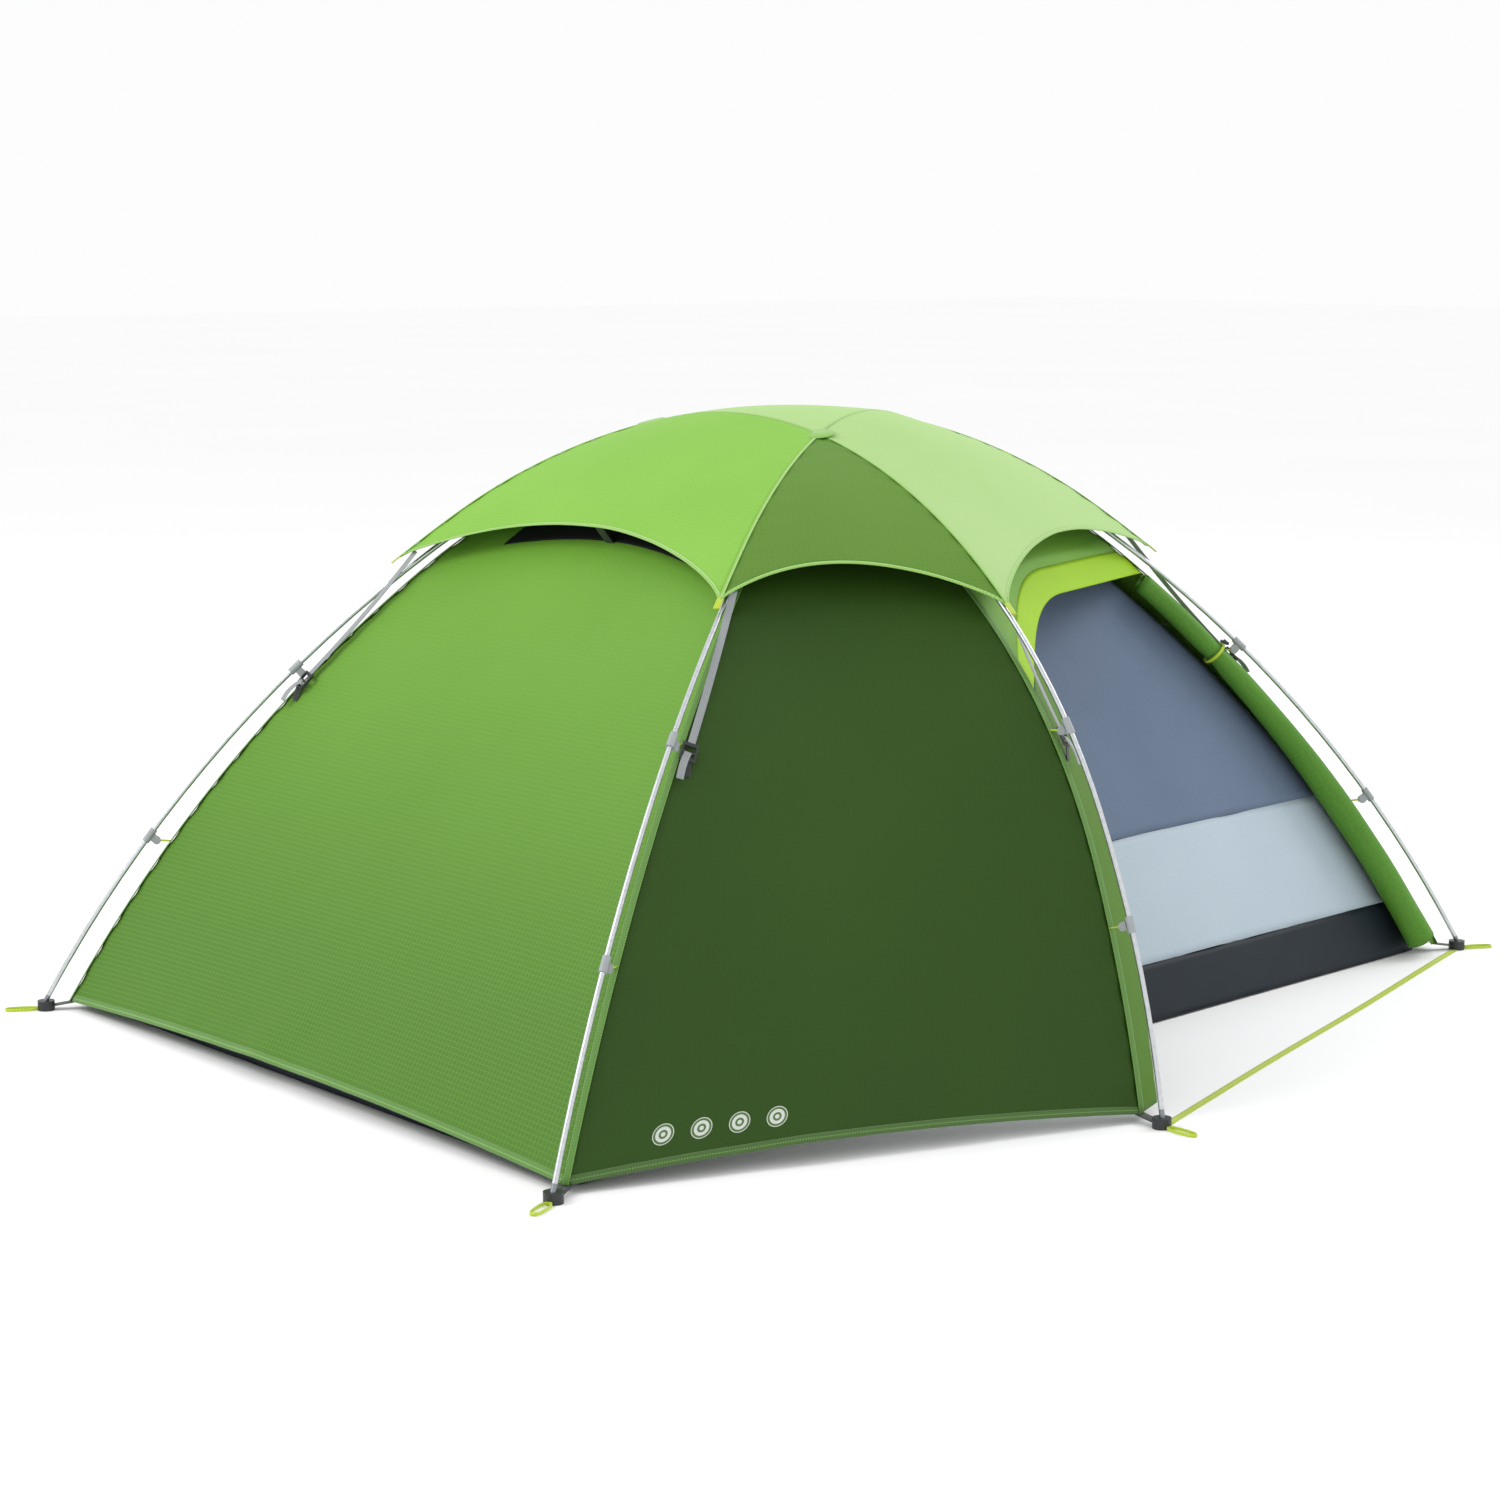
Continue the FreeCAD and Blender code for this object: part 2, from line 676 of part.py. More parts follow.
def make_feet():
    cups = []
    straps = []
    loops = []
    for name, leg in POLES.items():
        base = cup_centre(name)
        cup = Part.makeCylinder(CUP_R, CUP_HEIGHT, Vector(base.x, base.y, 0))
        hole = tube_run(leg, FOOT_START - SECTION_GAP, FOOT_START + 3 * TIP_LENGTH, POLE_R + FIT)
        cups.append(cup.cut(hole))
        fly = FLY[name]
        corner = fly.point(fly.arch.at_height(HEM_HEIGHT))
        start = base - leg.out * (CUP_R + SEAT) + UP * (CUP_HEIGHT / 2)
        end = Vector(corner.x, corner.y, HEM_HEIGHT - 2.5) - leg.out * 14
        straps.append(bar(start, end, WEBBING, WEBBING_T, leg.side))
        inner = base + leg.out * (CUP_R + SEAT) + UP * (WEBBING_T * 2)
        outer = inner + leg.out * LOOP_LENGTH
        loop = bar(inner, outer, WEBBING, WEBBING_T * 4, leg.side)
        slot = bar(inner + leg.out * 14, outer - leg.out * 6, WEBBING - 8, WEBBING_T * 8, leg.side)
        loops.append(loop.cut(slot))
    save("pole_foot_cups", cups)
    save("corner_straps", straps)
    save("peg_loops", loops)
    ground = []
    for one, two in (("mid_front", "foot_front"), ("mid_rear", "foot_rear")):
        along = (cup_centre(two) - cup_centre(one)).normalize()
        inset = along * (CUP_R + SEAT)
        start = cup_centre(one) + inset + UP * (WEBBING_T / 2)
        end = cup_centre(two) - inset + UP * (WEBBING_T / 2)
        ground.append(bar(start, end, GROUND_STRAP, WEBBING_T, UP.cross(along)))
    save("ground_straps", ground)


# ---------------------------------------------------------------- clips, straps and buckles
def clip_at(name, height):
    """A clip on the pole with an ear, and the short cord from it to the fly."""
    leg = POLES[name]
    at = leg.arch.at_height(height)
    ring = tube_run(leg, at - CLIP_LENGTH / 2, at + CLIP_LENGTH / 2, POLE_R + FIT + CLIP_WALL, POLE_R + FIT)
    way = leg.normal(at) * -1
    root = leg.point(at) + way * (POLE_R + FIT + CLIP_WALL - 0.6)
    eye = root + way * CLIP_EAR
    ear = bar(root, eye, CLIP_LENGTH * 0.5, CLIP_EYE_R * 1.4, leg.tangent(at))
    half = leg.side * (CLIP_EYE_R * 0.7)
    clip = ring.fuse(ear).fuse(rod(eye - half, eye + half, CLIP_EYE_R)).removeSplitter()
    fly = FLY[name]
    fly_at = fly.arch.at_height(height - CORD_FALL)
    end = fly.point(fly_at) + fly.normal(fly_at) * (CORD_D / 2 + SEAT)
    along = (end - eye).normalize()
    cord = round_rod(eye + along * (CLIP_EYE_R + CORD_D / 2 + SEAT), end, CORD_D / 2)
    return clip, cord


def make_clips():
    made = [clip_at(name, height) for height in (LOWER_CLIP_HEIGHT, UPPER_CLIP_HEIGHT) for name in POLES]
    save("pole_clips", [clip for clip, cord in made])
    save("clip_cords", [cord for clip, cord in made])


def panel_from(panels, name):
    """The panel that starts at a leg, on the side that the leg's straps hang."""
    return next(panels[key] for key, pair in PAIRS.items() if pair[0] == name)


def buckle_place(name):
    """The hinge bar of a ladder lock, its strap's seat on the cap, and its sewn foot."""
    panel = panel_from(FLY_PANELS, name)
    t = (panel.a.arch.at_height(BUCKLE_HEIGHT) - panel.low[0]) / (panel.high[0] - panel.low[0])
    u = BUCKLE_SIDE / panel.width(t)
    anchor = panel.point(u, t) + panel.normal(u, t) * BUCKLE_RISE
    low_t = t - BUCKLE_FOOT / panel.height()
    foot = panel.point(u, low_t) + panel.normal(u, low_t) * (WEBBING_T / 2 + 2 * SEAT)
    cap = panel_from(CAP_PANELS, name)
    cap_t = cap_edge(cap)(0.0)
    cap_u = BUCKLE_SIDE * 0.7 / cap.width(cap_t)
    cap_t = cap_edge(cap)(cap_u) + 0.004
    tip = cap.point(cap_u, cap_t) - cap.normal(cap_u, cap_t) * (CLOTH + WEBBING_T / 2 + 4 * SEAT)
    across = (panel.point(2 * u, low_t) - panel.point(u, low_t)).normalize()
    return anchor, tip, foot, across


def make_buckles():
    straps = []
    anchors = []
    for name in POLES:
        anchor, tip, foot, side = buckle_place(name)
        along = (tip - anchor).normalize()
        top = anchor + along * BUCKLE_LENGTH
        frame = bar(anchor, top, BUCKLE_WIDTH, BUCKLE_T, side)
        half = side * (BUCKLE_WIDTH / 2)
        half = (half - along * half.dot(along)).normalize() * (BUCKLE_WIDTH / 2)
        frame = frame.fuse(rod(anchor - half, anchor + half, BUCKLE_T / 2)).removeSplitter()
        slot_w = BUCKLE_WIDTH - 2 * BUCKLE_RAIL
        for low, high in BUCKLE_SLOTS:
            slot = bar(anchor + along * low, anchor + along * high, slot_w, BUCKLE_T * 3, side)
            frame = frame.cut(slot)
        save("ladder_lock_" + name, [frame])
        straps.append(bar(top + along * (2 * SEAT), tip, WEBBING * BUCKLE_STRAP_SHARE, WEBBING_T, side))
        back = (anchor - foot).normalize() * (BUCKLE_T / 2 + 5 * SEAT)
        anchors.append(bar(foot, anchor - back, WEBBING * BUCKLE_ANCHOR_SHARE, WEBBING_T, side))
    save("cap_straps", straps)
    save("buckle_anchors", anchors)


def prop_at(name):
    """A stiff prop that holds the cap's edge away from the fly at one end of the tent."""
    fly = FLY_PANELS[name]
    cap = CAP_PANELS[name]
    edge = cap_edge(cap)
    t_cap = edge(0.5) + 0.01
    target = cap.point(0.5, t_cap) - cap.normal(0.5, t_cap) * (CLOTH + 0.3)
    best = min(
        (fly.point(0.5, step / 400) + fly.normal(0.5, step / 400) * 0.5 for step in range(200, 400)),
        key=lambda place: (place - target).Length,
    )
    way = (target - best).normalize()
    across = (fly.b.point(0) - fly.a.point(0)).normalize()
    pivot = best + way * (PROP_T / 2 + SEAT)
    half = across * (PROP_WIDTH / 2)
    stiffener = bar(pivot, target, PROP_WIDTH, PROP_T, across)
    return stiffener.fuse(rod(pivot - half, pivot + half, PROP_T / 2)).removeSplitter(), pivot, across


def make_props():
    for name in ("head", "foot"):
        save("vent_prop_" + name, [prop_at(name)[0]])


# ---------------------------------------------------------------- door pieces
def roll_line(share):
    """The middle of the rolled door beside its strip, its direction and its radius."""
    panel = FLY_PANELS["door"]
    side, strip, arch_line = door_limits(panel, True)

    def edge_at(value):
        t = ROLL_LOW_T + (ROLL_HIGH_T - ROLL_LOW_T) * value
        u = 1 - strip(t)
        return panel.point(u, t) - panel.normal(u, t) * (CLOTH / 2), u, t

    edge, u, t = edge_at(share)
    way = (edge_at(share + 0.01)[0] - edge_at(share - 0.01)[0]).normalize()
    into = panel.point(u - 0.02, t) - panel.point(u, t)
    into = (into - way * into.dot(way)).normalize()
    radius = ROLL_R + (ROLL_TOP_R - ROLL_R) * share
    centre = edge + into * (radius + TIE_T + 2 * SEAT)
    out = FLY["foot_front"].normal(FLY["foot_front"].arch.leg_length * 0.6)
    out = (out - way * out.dot(way)).normalize()
    return centre, way, radius, out


def make_door():
    """The rolled front door, the loop that ties it, and the toggle."""
    rings = []
    for n in range(ROLL_RINGS):
        centre, way, radius, out = roll_line(n / (ROLL_RINGS - 1))
        rings.append(Part.Wire([Part.Circle(centre, way, radius).toShape()]))
    save("door_roll", [Part.makeLoft(rings, True, False)])
    centre, way, radius, out = roll_line(ROLL_TIE_AT)
    bore = Part.makeCylinder(radius + 2 * SEAT, 3 * TIE_WIDTH, centre - way * TIE_WIDTH * 1.5, way)
    hoop = Part.makeCylinder(radius + TIE_T, TIE_WIDTH, centre - way * (TIE_WIDTH / 2), way).cut(bore)
    save("door_tie_loop", [hoop])
    middle, half = toggle_place()
    hub = rod(middle - out * TOGGLE_HUB_LOW, middle + out * (TOGGLE_R + 1.0), TOGGLE_HUB_R)
    save("door_toggle", [rod(middle - half, middle + half, TOGGLE_R).fuse(hub).removeSplitter()])


def toggle_place():
    centre, way, radius, out = roll_line(ROLL_TIE_AT)
    middle = centre + out * (radius + TIE_T + TOGGLE_R + SEAT)
    return middle, way.cross(out).normalize() * (TOGGLE_LENGTH / 2)


def make_zips():
    """The closed rear door's zip, its slider and its pull, and the front hem slider."""
    panel = FLY_PANELS["rear_door"]
    side, strip, arch_line = door_limits(panel, False)
    edge = arch_line(DOOR_TOP_DEPTH)
    tape = sheet(
        panel,
        left=lambda t: 1 - side(t) - ZIP_WIDTH / panel.width(t),
        right=lambda t: 1 - side(t),
        bottom=lambda u: 0.01,
        top=lambda u: edge(u) - 0.02,
        out=ZIP_T + ZIP_LIFT,
        thick=ZIP_T,
        cells=(2, 8),
    )
    save("rear_door_zip", [tape])
    slide = slider_place()
    base, along, out = slide["base"], slide["along"], slide["out"]
    length, width, thick = SLIDER
    across = slide["across"]
    slider = bar(base, base + along * length, width, thick, across)
    pin = slide["pin"]
    for side_of in (-1, 1):
        ear_at = pin + across * (side_of * (width / 2 - 1.0))
        slider = slider.fuse(bar(ear_at - out * (PIN_RISE + 0.5), ear_at + out * 1.6, 2.0, 3.6, across))
    half = across * (width / 2 - 1.0)
    slider = slider.fuse(rod(pin - half, pin + half, PIN_R)).removeSplitter()
    save("rear_zip_slider", [slider])
    eye_half = across * (EYE_WIDTH / 2)
    pull = bar(pin, pin - along * PULL_LENGTH, EYE_WIDTH, 1.6, across)
    pull = pull.fuse(rod(pin - eye_half, pin + eye_half, EYE_R))
    pull = pull.cut(rod(pin - half, pin + half, PIN_R + FIT)).removeSplitter()
    save("rear_zip_pull", [pull])


def slider_place():
    """Where the rear slider rests, and the straight stretch that it runs along."""
    panel = FLY_PANELS["rear_door"]
    side, strip, arch_line = door_limits(panel, False)
    ends = []
    for t in SLIDE_T:
        u = 1 - side(t) - ZIP_WIDTH / 2 / panel.width(t)
        ends.append(panel.point(u, t))
    along = (ends[1] - ends[0]).normalize()
    out = panel.normal(0.9, sum(SLIDE_T) / 2)
    out = (out - along * out.dot(along)).normalize()
    base = ends[0] + out * (ZIP_T + ZIP_LIFT + SLIDER[2] / 2 + SLIDER_CLEAR)
    pin = base + along * (SLIDER[0] / 2) + out * (SLIDER[2] / 2 + PIN_RISE)
    return {
        "base": base,
        "along": along,
        "out": out,
        "across": along.cross(out).normalize(),
        "pin": pin,
        "travel": (ends[1] - ends[0]).Length,
    }


# ---------------------------------------------------------------- inner tent
INNER_SIDES = {
    "head": ("head_rear", "head_front"),
    "front": ("head_front", "foot_front"),
    "foot": ("foot_front", "foot_rear"),
    "rear": ("foot_rear", "head_rear"),
}


class InnerWall:
    """One side of the inner tent, between two corner lines that meet over the middle."""

    def __init__(self, first, second):
        self.a = INNER[first]
        self.b = INNER[second]
        tops = []
        for name, leg in ((first, self.a), (second, self.b)):
            far_side = name.startswith("head")
            cross = leg.arch.at_offset(-AXIS_CROSS if far_side else AXIS_CROSS)
            tops.append(cross - TOP_CUT)
        self.tops = tops

    def ends(self, zone, share):
        limits = []
        for leg, top in ((self.a, self.tops[0]), (self.b, self.tops[1])):
            levels = [leg.arch.at_height(z) for z in (TUB_BASE, TUB_HEIGHT, BAND_HEIGHT)] + [top]
            low = levels[zone]
            high = levels[zone + 1]
            limits.append(low + (high - low) * share)
        return limits

    def cloth(self, zone, cells):
        outer = []
        inner = []
        low_gap = 0.0 if zone == 0 else 0.002
        for row in range(cells[1] + 1):
            share = low_gap + (1 - low_gap) * row / cells[1]
            at_a, at_b = self.ends(zone, share)
            a = self.a.point(at_a)
            b = self.b.point(at_b)
            gap = SEAM_GAP / (a - b).Length
            outer_row = []
            inner_row = []
            for column in range(cells[0] + 1):
                u = gap + (1 - 2 * gap) * column / cells[0]
                way = (self.a.normal(at_a) * (1 - u) + self.b.normal(at_b) * u).normalize()
                bow = INNER_SAG * math.sin(math.pi * u) * (math.sin(math.pi * share) if zone == 2 else 0.0)
                place = a * (1 - u) + b * u - way * bow
                outer_row.append(place)
                inner_row.append(place - way * CLOTH)
            outer.append(outer_row)
            inner.append(inner_row)
        return cloth_from_grid(outer, inner)


def make_inner():
    walls = {name: InnerWall(one, two) for name, (one, two) in INNER_SIDES.items()}
    floor_points = []
    for name in INNER_CORNERS:
        leg = INNER[name]
        place = leg.point(leg.arch.at_height(TUB_BASE)) - leg.out * (CLOTH / 2)
        floor_points.append(Vector(place.x, place.y, 0))
    outline = Part.Face(Part.makePolygon(floor_points + [floor_points[0]]))
    save("inner_floor", [outline.extrude(UP * FLOOR_T)])
    save("inner_tub_walls", [wall.cloth(0, (2, 2)) for wall in walls.values()])
    save("inner_light_bands", [wall.cloth(1, (3, 2)) for wall in walls.values()])
    for name, wall in walls.items():
        save("inner_mesh_" + name, [wall.cloth(2, (6, 8))])
    hangers = []
    for name in INNER_CORNERS:
        for height, fall in INNER_HANGERS:
            hangers.append(hanger(INNER[name], FLY[name], height, height + fall))
    save("inner_hangers", hangers)
    way = dome_normal(INNER, "foot_front", "foot_rear")
    top = INNER["foot_front"].point(INNER["foot_front"].arch.at_offset(AXIS_CROSS))
    seam = FLY["foot_front"].point(FLY["foot_front"].arch.at_offset(AXIS_CROSS))
    patch = Part.makeCylinder(PEAK_PATCH_R, CLOTH, top + way * SEAT, way)
    post = Part.makeCylinder(CORD_D, (seam - top).dot(way) - CLOTH - 4 * SEAT, top + way * SEAT, way)
    save("inner_peak_hanger", [patch.fuse(post).removeSplitter()])


def hanger(inner, fly, low, high):
    """A tie from a corner line of the inner tent to the fly's seam outside it."""
    radius = HANGER_D / 2
    start_at = inner.arch.at_height(low)
    end_at = fly.arch.at_height(high)
    start = inner.point(start_at) + inner.normal(start_at) * (radius + SEAT)
    end = fly.point(end_at) - fly.normal(end_at) * (CLOTH + radius + SEAT) * HANGER_VALLEY
    return round_rod(start, end, radius)


os.makedirs("parts", exist_ok=True)
make_fly()
make_cap()
make_poles()
make_saddles()
make_feet()
make_clips()
make_buckles()
make_props()
make_door()
make_zips()
make_inner()
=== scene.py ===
import math

import bmesh
import bpy
from mathutils import Matrix, Vector, noise


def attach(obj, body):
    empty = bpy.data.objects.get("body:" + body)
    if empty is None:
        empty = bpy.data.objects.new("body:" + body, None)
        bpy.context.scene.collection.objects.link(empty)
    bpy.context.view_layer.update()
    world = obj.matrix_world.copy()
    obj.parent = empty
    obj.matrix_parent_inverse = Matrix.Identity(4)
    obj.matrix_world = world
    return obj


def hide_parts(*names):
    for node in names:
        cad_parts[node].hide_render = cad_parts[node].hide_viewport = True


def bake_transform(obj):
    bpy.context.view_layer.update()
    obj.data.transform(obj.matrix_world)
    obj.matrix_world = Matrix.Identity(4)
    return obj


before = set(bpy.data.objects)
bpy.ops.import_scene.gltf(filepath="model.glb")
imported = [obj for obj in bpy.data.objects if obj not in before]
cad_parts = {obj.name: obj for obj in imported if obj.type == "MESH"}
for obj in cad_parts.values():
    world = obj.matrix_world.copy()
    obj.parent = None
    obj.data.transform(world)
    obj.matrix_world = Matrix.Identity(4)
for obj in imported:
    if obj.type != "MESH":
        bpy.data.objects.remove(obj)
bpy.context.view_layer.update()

# The studio: a plain pale floor, a pale room, and three soft window-like lights.
# The key light stands high at the head end, so the head panel and the roof cap are bright
# and the front panel turns away from it. The camera stands low, off the front head corner.
camera_lens = bpy.data.cameras.new("camera")
camera_lens.sensor_width = 36.0
camera_lens.lens = 79.0
camera_lens.clip_end = 200.0
camera = bpy.data.objects.new("camera", camera_lens)
camera.location = (-3.825, -4.405, 1.374)
camera.rotation_euler = (math.radians(90 - 9.1), 0.0, math.radians(-39.71))
bpy.context.collection.objects.link(camera)
bpy.context.scene.camera = camera
bpy.context.scene.view_settings.view_transform = "Standard"


def linear(hex_colour):
    """An sRGB hex colour as the linear colour that a socket takes."""
    parts = [int(hex_colour[at:at + 2], 16) / 255 for at in (1, 3, 5)]
    return [p / 12.92 if p <= 0.04045 else ((p + 0.055) / 1.055) ** 2.4 for p in parts] + [1.0]


def add_node(finish, kind, inputs=(), **settings):
    """A shader node in a finish. An input is a value, or the socket that feeds it."""
    node = finish.node_tree.nodes.new("ShaderNode" + kind)
    for setting, value in settings.items():
        setattr(node, setting, value)
    for socket, source in dict(inputs).items():
        if isinstance(source, bpy.types.NodeSocket):
            finish.node_tree.links.new(source, node.inputs[socket])
        else:
            node.inputs[socket].default_value = source
    return node


def new_finish(name, **sockets):
    """A finish with its shader, and the shader's own numbers and colour."""
    finish = bpy.data.materials.new(name)
    finish.use_nodes = True
    shader = finish.node_tree.nodes["Principled BSDF"]
    for socket, value in sockets.items():
        shader.inputs[socket.replace("_", " ")].default_value = value
    return finish, shader


def feed(finish, shader, colour, bump=None, dull=None):
    """Joins a finish's colour, its bump and its roughness to its shader."""
    link = finish.node_tree.links.new
    link(colour, shader.inputs["Base Color"])
    if bump:
        link(bump.outputs["Normal"], shader.inputs["Normal"])
        link(dull.outputs["Result"], shader.inputs["Roughness"])


floor_paper, floor_shader = new_finish("white_studio_paper", Roughness=0.9)
paper_grain = add_node(floor_paper, "TexNoise", {"Scale": 40.0})
paper_tone = add_node(
    floor_paper, "Mix",
    {"Factor": paper_grain.outputs["Fac"], 6: linear("#FBFBFB"), 7: linear("#FFFFFF")},
    data_type="RGBA",
)
feed(floor_paper, floor_shader, paper_tone.outputs[2])
floor_bm = bmesh.new()
bmesh.ops.create_grid(floor_bm, x_segments=1, y_segments=1, size=40.0)
floor_mesh = bpy.data.meshes.new("floor")
floor_bm.to_mesh(floor_mesh)
floor = bpy.data.objects.new("floor", floor_mesh)
floor_mesh.materials.append(floor_paper)
bpy.context.collection.objects.link(floor)

world = bpy.data.worlds.new("room")
bpy.context.scene.world = world
world.use_nodes = True
world.node_tree.nodes["Background"].inputs["Color"].default_value = linear("#FFFFFF")
world.node_tree.nodes["Background"].inputs["Strength"].default_value = 0.98
for name, place, width, watts in (
    ("key_light", (-4.6, 1.6, 4.2), 2.6, 130.0),
    ("foot_light", (4.4, -1.2, 4.0), 2.6, 90.0),
    ("front_light", (-1.0, -6.0, 3.0), 3.0, 10.0),
):
    lamp = bpy.data.lights.new(name, "AREA")
    lamp.size = width
    lamp.energy = watts
    light = bpy.data.objects.new(name, lamp)
    light.location = place
    light.rotation_euler = (Vector((0, 0, 0.5)) - Vector(place)).to_track_quat("-Z", "Y").to_euler()
    bpy.context.collection.objects.link(light)

# The poles: three shock-corded arches of drawn aluminium tube, 8.5 mm across, anodised silver.
# Each is cut in sections that push together over a ferrule, with a moulded tip at each foot.
# The tubes, ferrules and tips keep their made shapes and get their metal and plastic here.
POLE_HEIGHT = 1.020
POLE_RADIUS = 0.00425
STACK_STEP = 0.0098


def dress(finish, *nodes):
    """Gives parts of the frame their finish."""
    for node in nodes:
        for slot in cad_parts[node].material_slots:
            slot.material = finish


def metal_finish(name, light, dark, roughness, grain_mm):
    """Anodised tube: a dull even sheen with fine draw marks and faint handling marks."""
    finish, shader = new_finish(name, Metallic=1.0)
    place = add_node(finish, "TexCoord")
    marks = add_node(
        finish, "TexNoise",
        {"Vector": place.outputs["Object"], "Scale": 1.0 / (grain_mm / 1000), "Detail": 3.0},
    )
    tone = add_node(
        finish, "Mix",
        {"Factor": marks.outputs["Fac"], 6: linear(dark), 7: linear(light)}, data_type="RGBA",
    )
    dull = add_node(
        finish, "MapRange",
        {"Value": marks.outputs["Fac"], "To Min": roughness - 0.06, "To Max": roughness + 0.08},
    )
    bump = add_node(
        finish, "Bump",
        {"Height": marks.outputs["Fac"], "Strength": 0.2, "Distance": 0.0001},
    )
    feed(finish, shader, tone.outputs[2], bump, dull)
    return finish


pole_metal = metal_finish("anodised_aluminium_tube", "#DDE0E2", "#B4B9BD", 0.34, 6.0)
ferrule_metal = metal_finish("bare_aluminium_ferrule", "#C9CBCC", "#A5A8AA", 0.28, 4.0)
dress(pole_metal, "pole_head_rear", "pole_head_front", "pole_middle")
dress(ferrule_metal, "pole_ferrules")
dress(metal_finish("tip_alloy", "#9EA3A7", "#73797E", 0.4, 3.0), "pole_tips")


# The foot cups, pole clips and crossing saddles: nylon mouldings, mid grey, satin with a fine
# spark-eroded grain. Each cup holds a pole tip. Each clip is a sleeve that snaps on the pole,
# and each saddle sits between two poles over a seam.
def moulded_finish(name, colour, worn, roughness, grain_mm):
    """Moulded nylon: satin, with a fine grain and paler patches at random."""
    finish, shader = new_finish(name, IOR=1.53)
    place = add_node(finish, "TexCoord")
    grain = add_node(
        finish, "TexNoise",
        {"Vector": place.outputs["Object"], "Scale": 1.0 / (grain_mm / 1000), "Detail": 2.0},
    )
    cloud = add_node(
        finish, "TexNoise", {"Vector": place.outputs["Object"], "Scale": 60.0},
    )
    tone = add_node(
        finish, "Mix",
        {"Factor": cloud.outputs["Fac"], 6: linear(colour), 7: linear(worn)}, data_type="RGBA",
    )
    bump = add_node(
        finish, "Bump",
        {"Height": grain.outputs["Fac"], "Strength": 0.35, "Distance": 0.0002},
    )
    rough = add_node(
        finish, "MapRange",
        {"Value": grain.outputs["Fac"], "To Min": roughness - 0.08, "To Max": roughness + 0.08},
    )
    feed(finish, shader, tone.outputs[2], bump, rough)
    return finish


grey_nylon = moulded_finish("grey_moulded_nylon", "#8D9294", "#A4A9AB", 0.45, 0.8)
black_nylon = moulded_finish("black_moulded_nylon", "#17191B", "#2A2D30", 0.42, 0.8)
dress(grey_nylon, "pole_clips", "crossing_saddles")
dress(black_nylon, "pole_foot_cups")


# The lines that the cloth follows. The fly, the cap and the inner tent are all cut to the
# poles: each keeps its own distance inside or outside them, down six lines from the crossings
# at the top to the six pole feet. A panel is the cloth between two of those lines.
LENGTH = 2.330
HEAD_HALF = 0.760
FOOT_HALF = 0.530
MIDDLE_AT = 0.960
MIDDLE_HALF = 1.040
LONG_CROWN_R = 1.010
LONG_LEG_R = 2.430
SHORT_CROWN_R = 0.990
SHORT_LEG_R = 1.710
FLY_INSET = 0.044
FLY_DROP = 0.020
FLY_RADII = (2.700, 0.950, 2.200)
CAP_OUTSET = 0.012
CAP_LIFT = 0.008
UP = Vector((0, 0, 1))


class Arch:
    """Half an arch in its own upright plane: a crown arc and a tangent leg arc."""

    def __init__(self, half_span, height, crown_r, leg_r):
        self.crown_r = crown_r
        self.leg_r = leg_r
        self.crown_z = height - crown_r
        reach = leg_r - crown_r
        slant = math.hypot(half_span, self.crown_z)
        along = (slant ** 2 + reach ** 2 - leg_r ** 2) / (2 * slant)
        across = math.sqrt(reach ** 2 - along ** 2)
        ex = half_span / slant
        ez = -self.crown_z / slant
        self.leg_s = along * ex + across * ez
        self.leg_z = self.crown_z + along * ez - across * ex
        if self.leg_s > 0:
            self.leg_s = along * ex - across * ez
            self.leg_z = self.crown_z + along * ez + across * ex
        self.join = math.atan2(-self.leg_s, self.crown_z - self.leg_z)
        self.foot = math.atan2(half_span - self.leg_s, -self.leg_z)
        self.leg_length = leg_r * (self.foot - self.join)

    def angle(self, length):
        if length <= self.leg_length:
            return self.foot - length / self.leg_r
        return self.join - (length - self.leg_length) / self.crown_r

    def point(self, length):
        turn = self.angle(length)
        if length <= self.leg_length:
            return self.leg_s + self.leg_r * math.sin(turn), self.leg_z + self.leg_r * math.cos(turn)
        return self.crown_r * math.sin(turn), self.crown_z + self.crown_r * math.cos(turn)

    def at_height(self, z):
        turn = math.acos((z - self.leg_z) / self.leg_r)
        if turn >= self.join:
            return self.leg_r * (self.foot - turn)
        turn = math.acos((z - self.crown_z) / self.crown_r)
        return self.leg_length + self.crown_r * (self.join - turn)

    def at_offset(self, s):
        return self.leg_length + self.crown_r * (self.join - math.asin(s / self.crown_r))

    def crown_height(self, s):
        return self.crown_z + math.sqrt(self.crown_r ** 2 - s ** 2)


class Leg:
    """One of the six lines, measured up from its foot."""

    def __init__(self, shape, foot, far_foot):
        self.arch = shape
        self.middle = (foot + far_foot) * 0.5
        self.out = (foot - far_foot).normalized()
        self.side = UP.cross(self.out)

    def point(self, length):
        s, z = self.arch.point(length)
        return self.middle + self.out * s + UP * z

    def normal(self, length):
        turn = self.arch.angle(length)
        return self.out * math.sin(turn) + UP * math.cos(turn)

    def tangent(self, length):
        turn = self.arch.angle(length)
        return UP * math.sin(turn) - self.out * math.cos(turn)


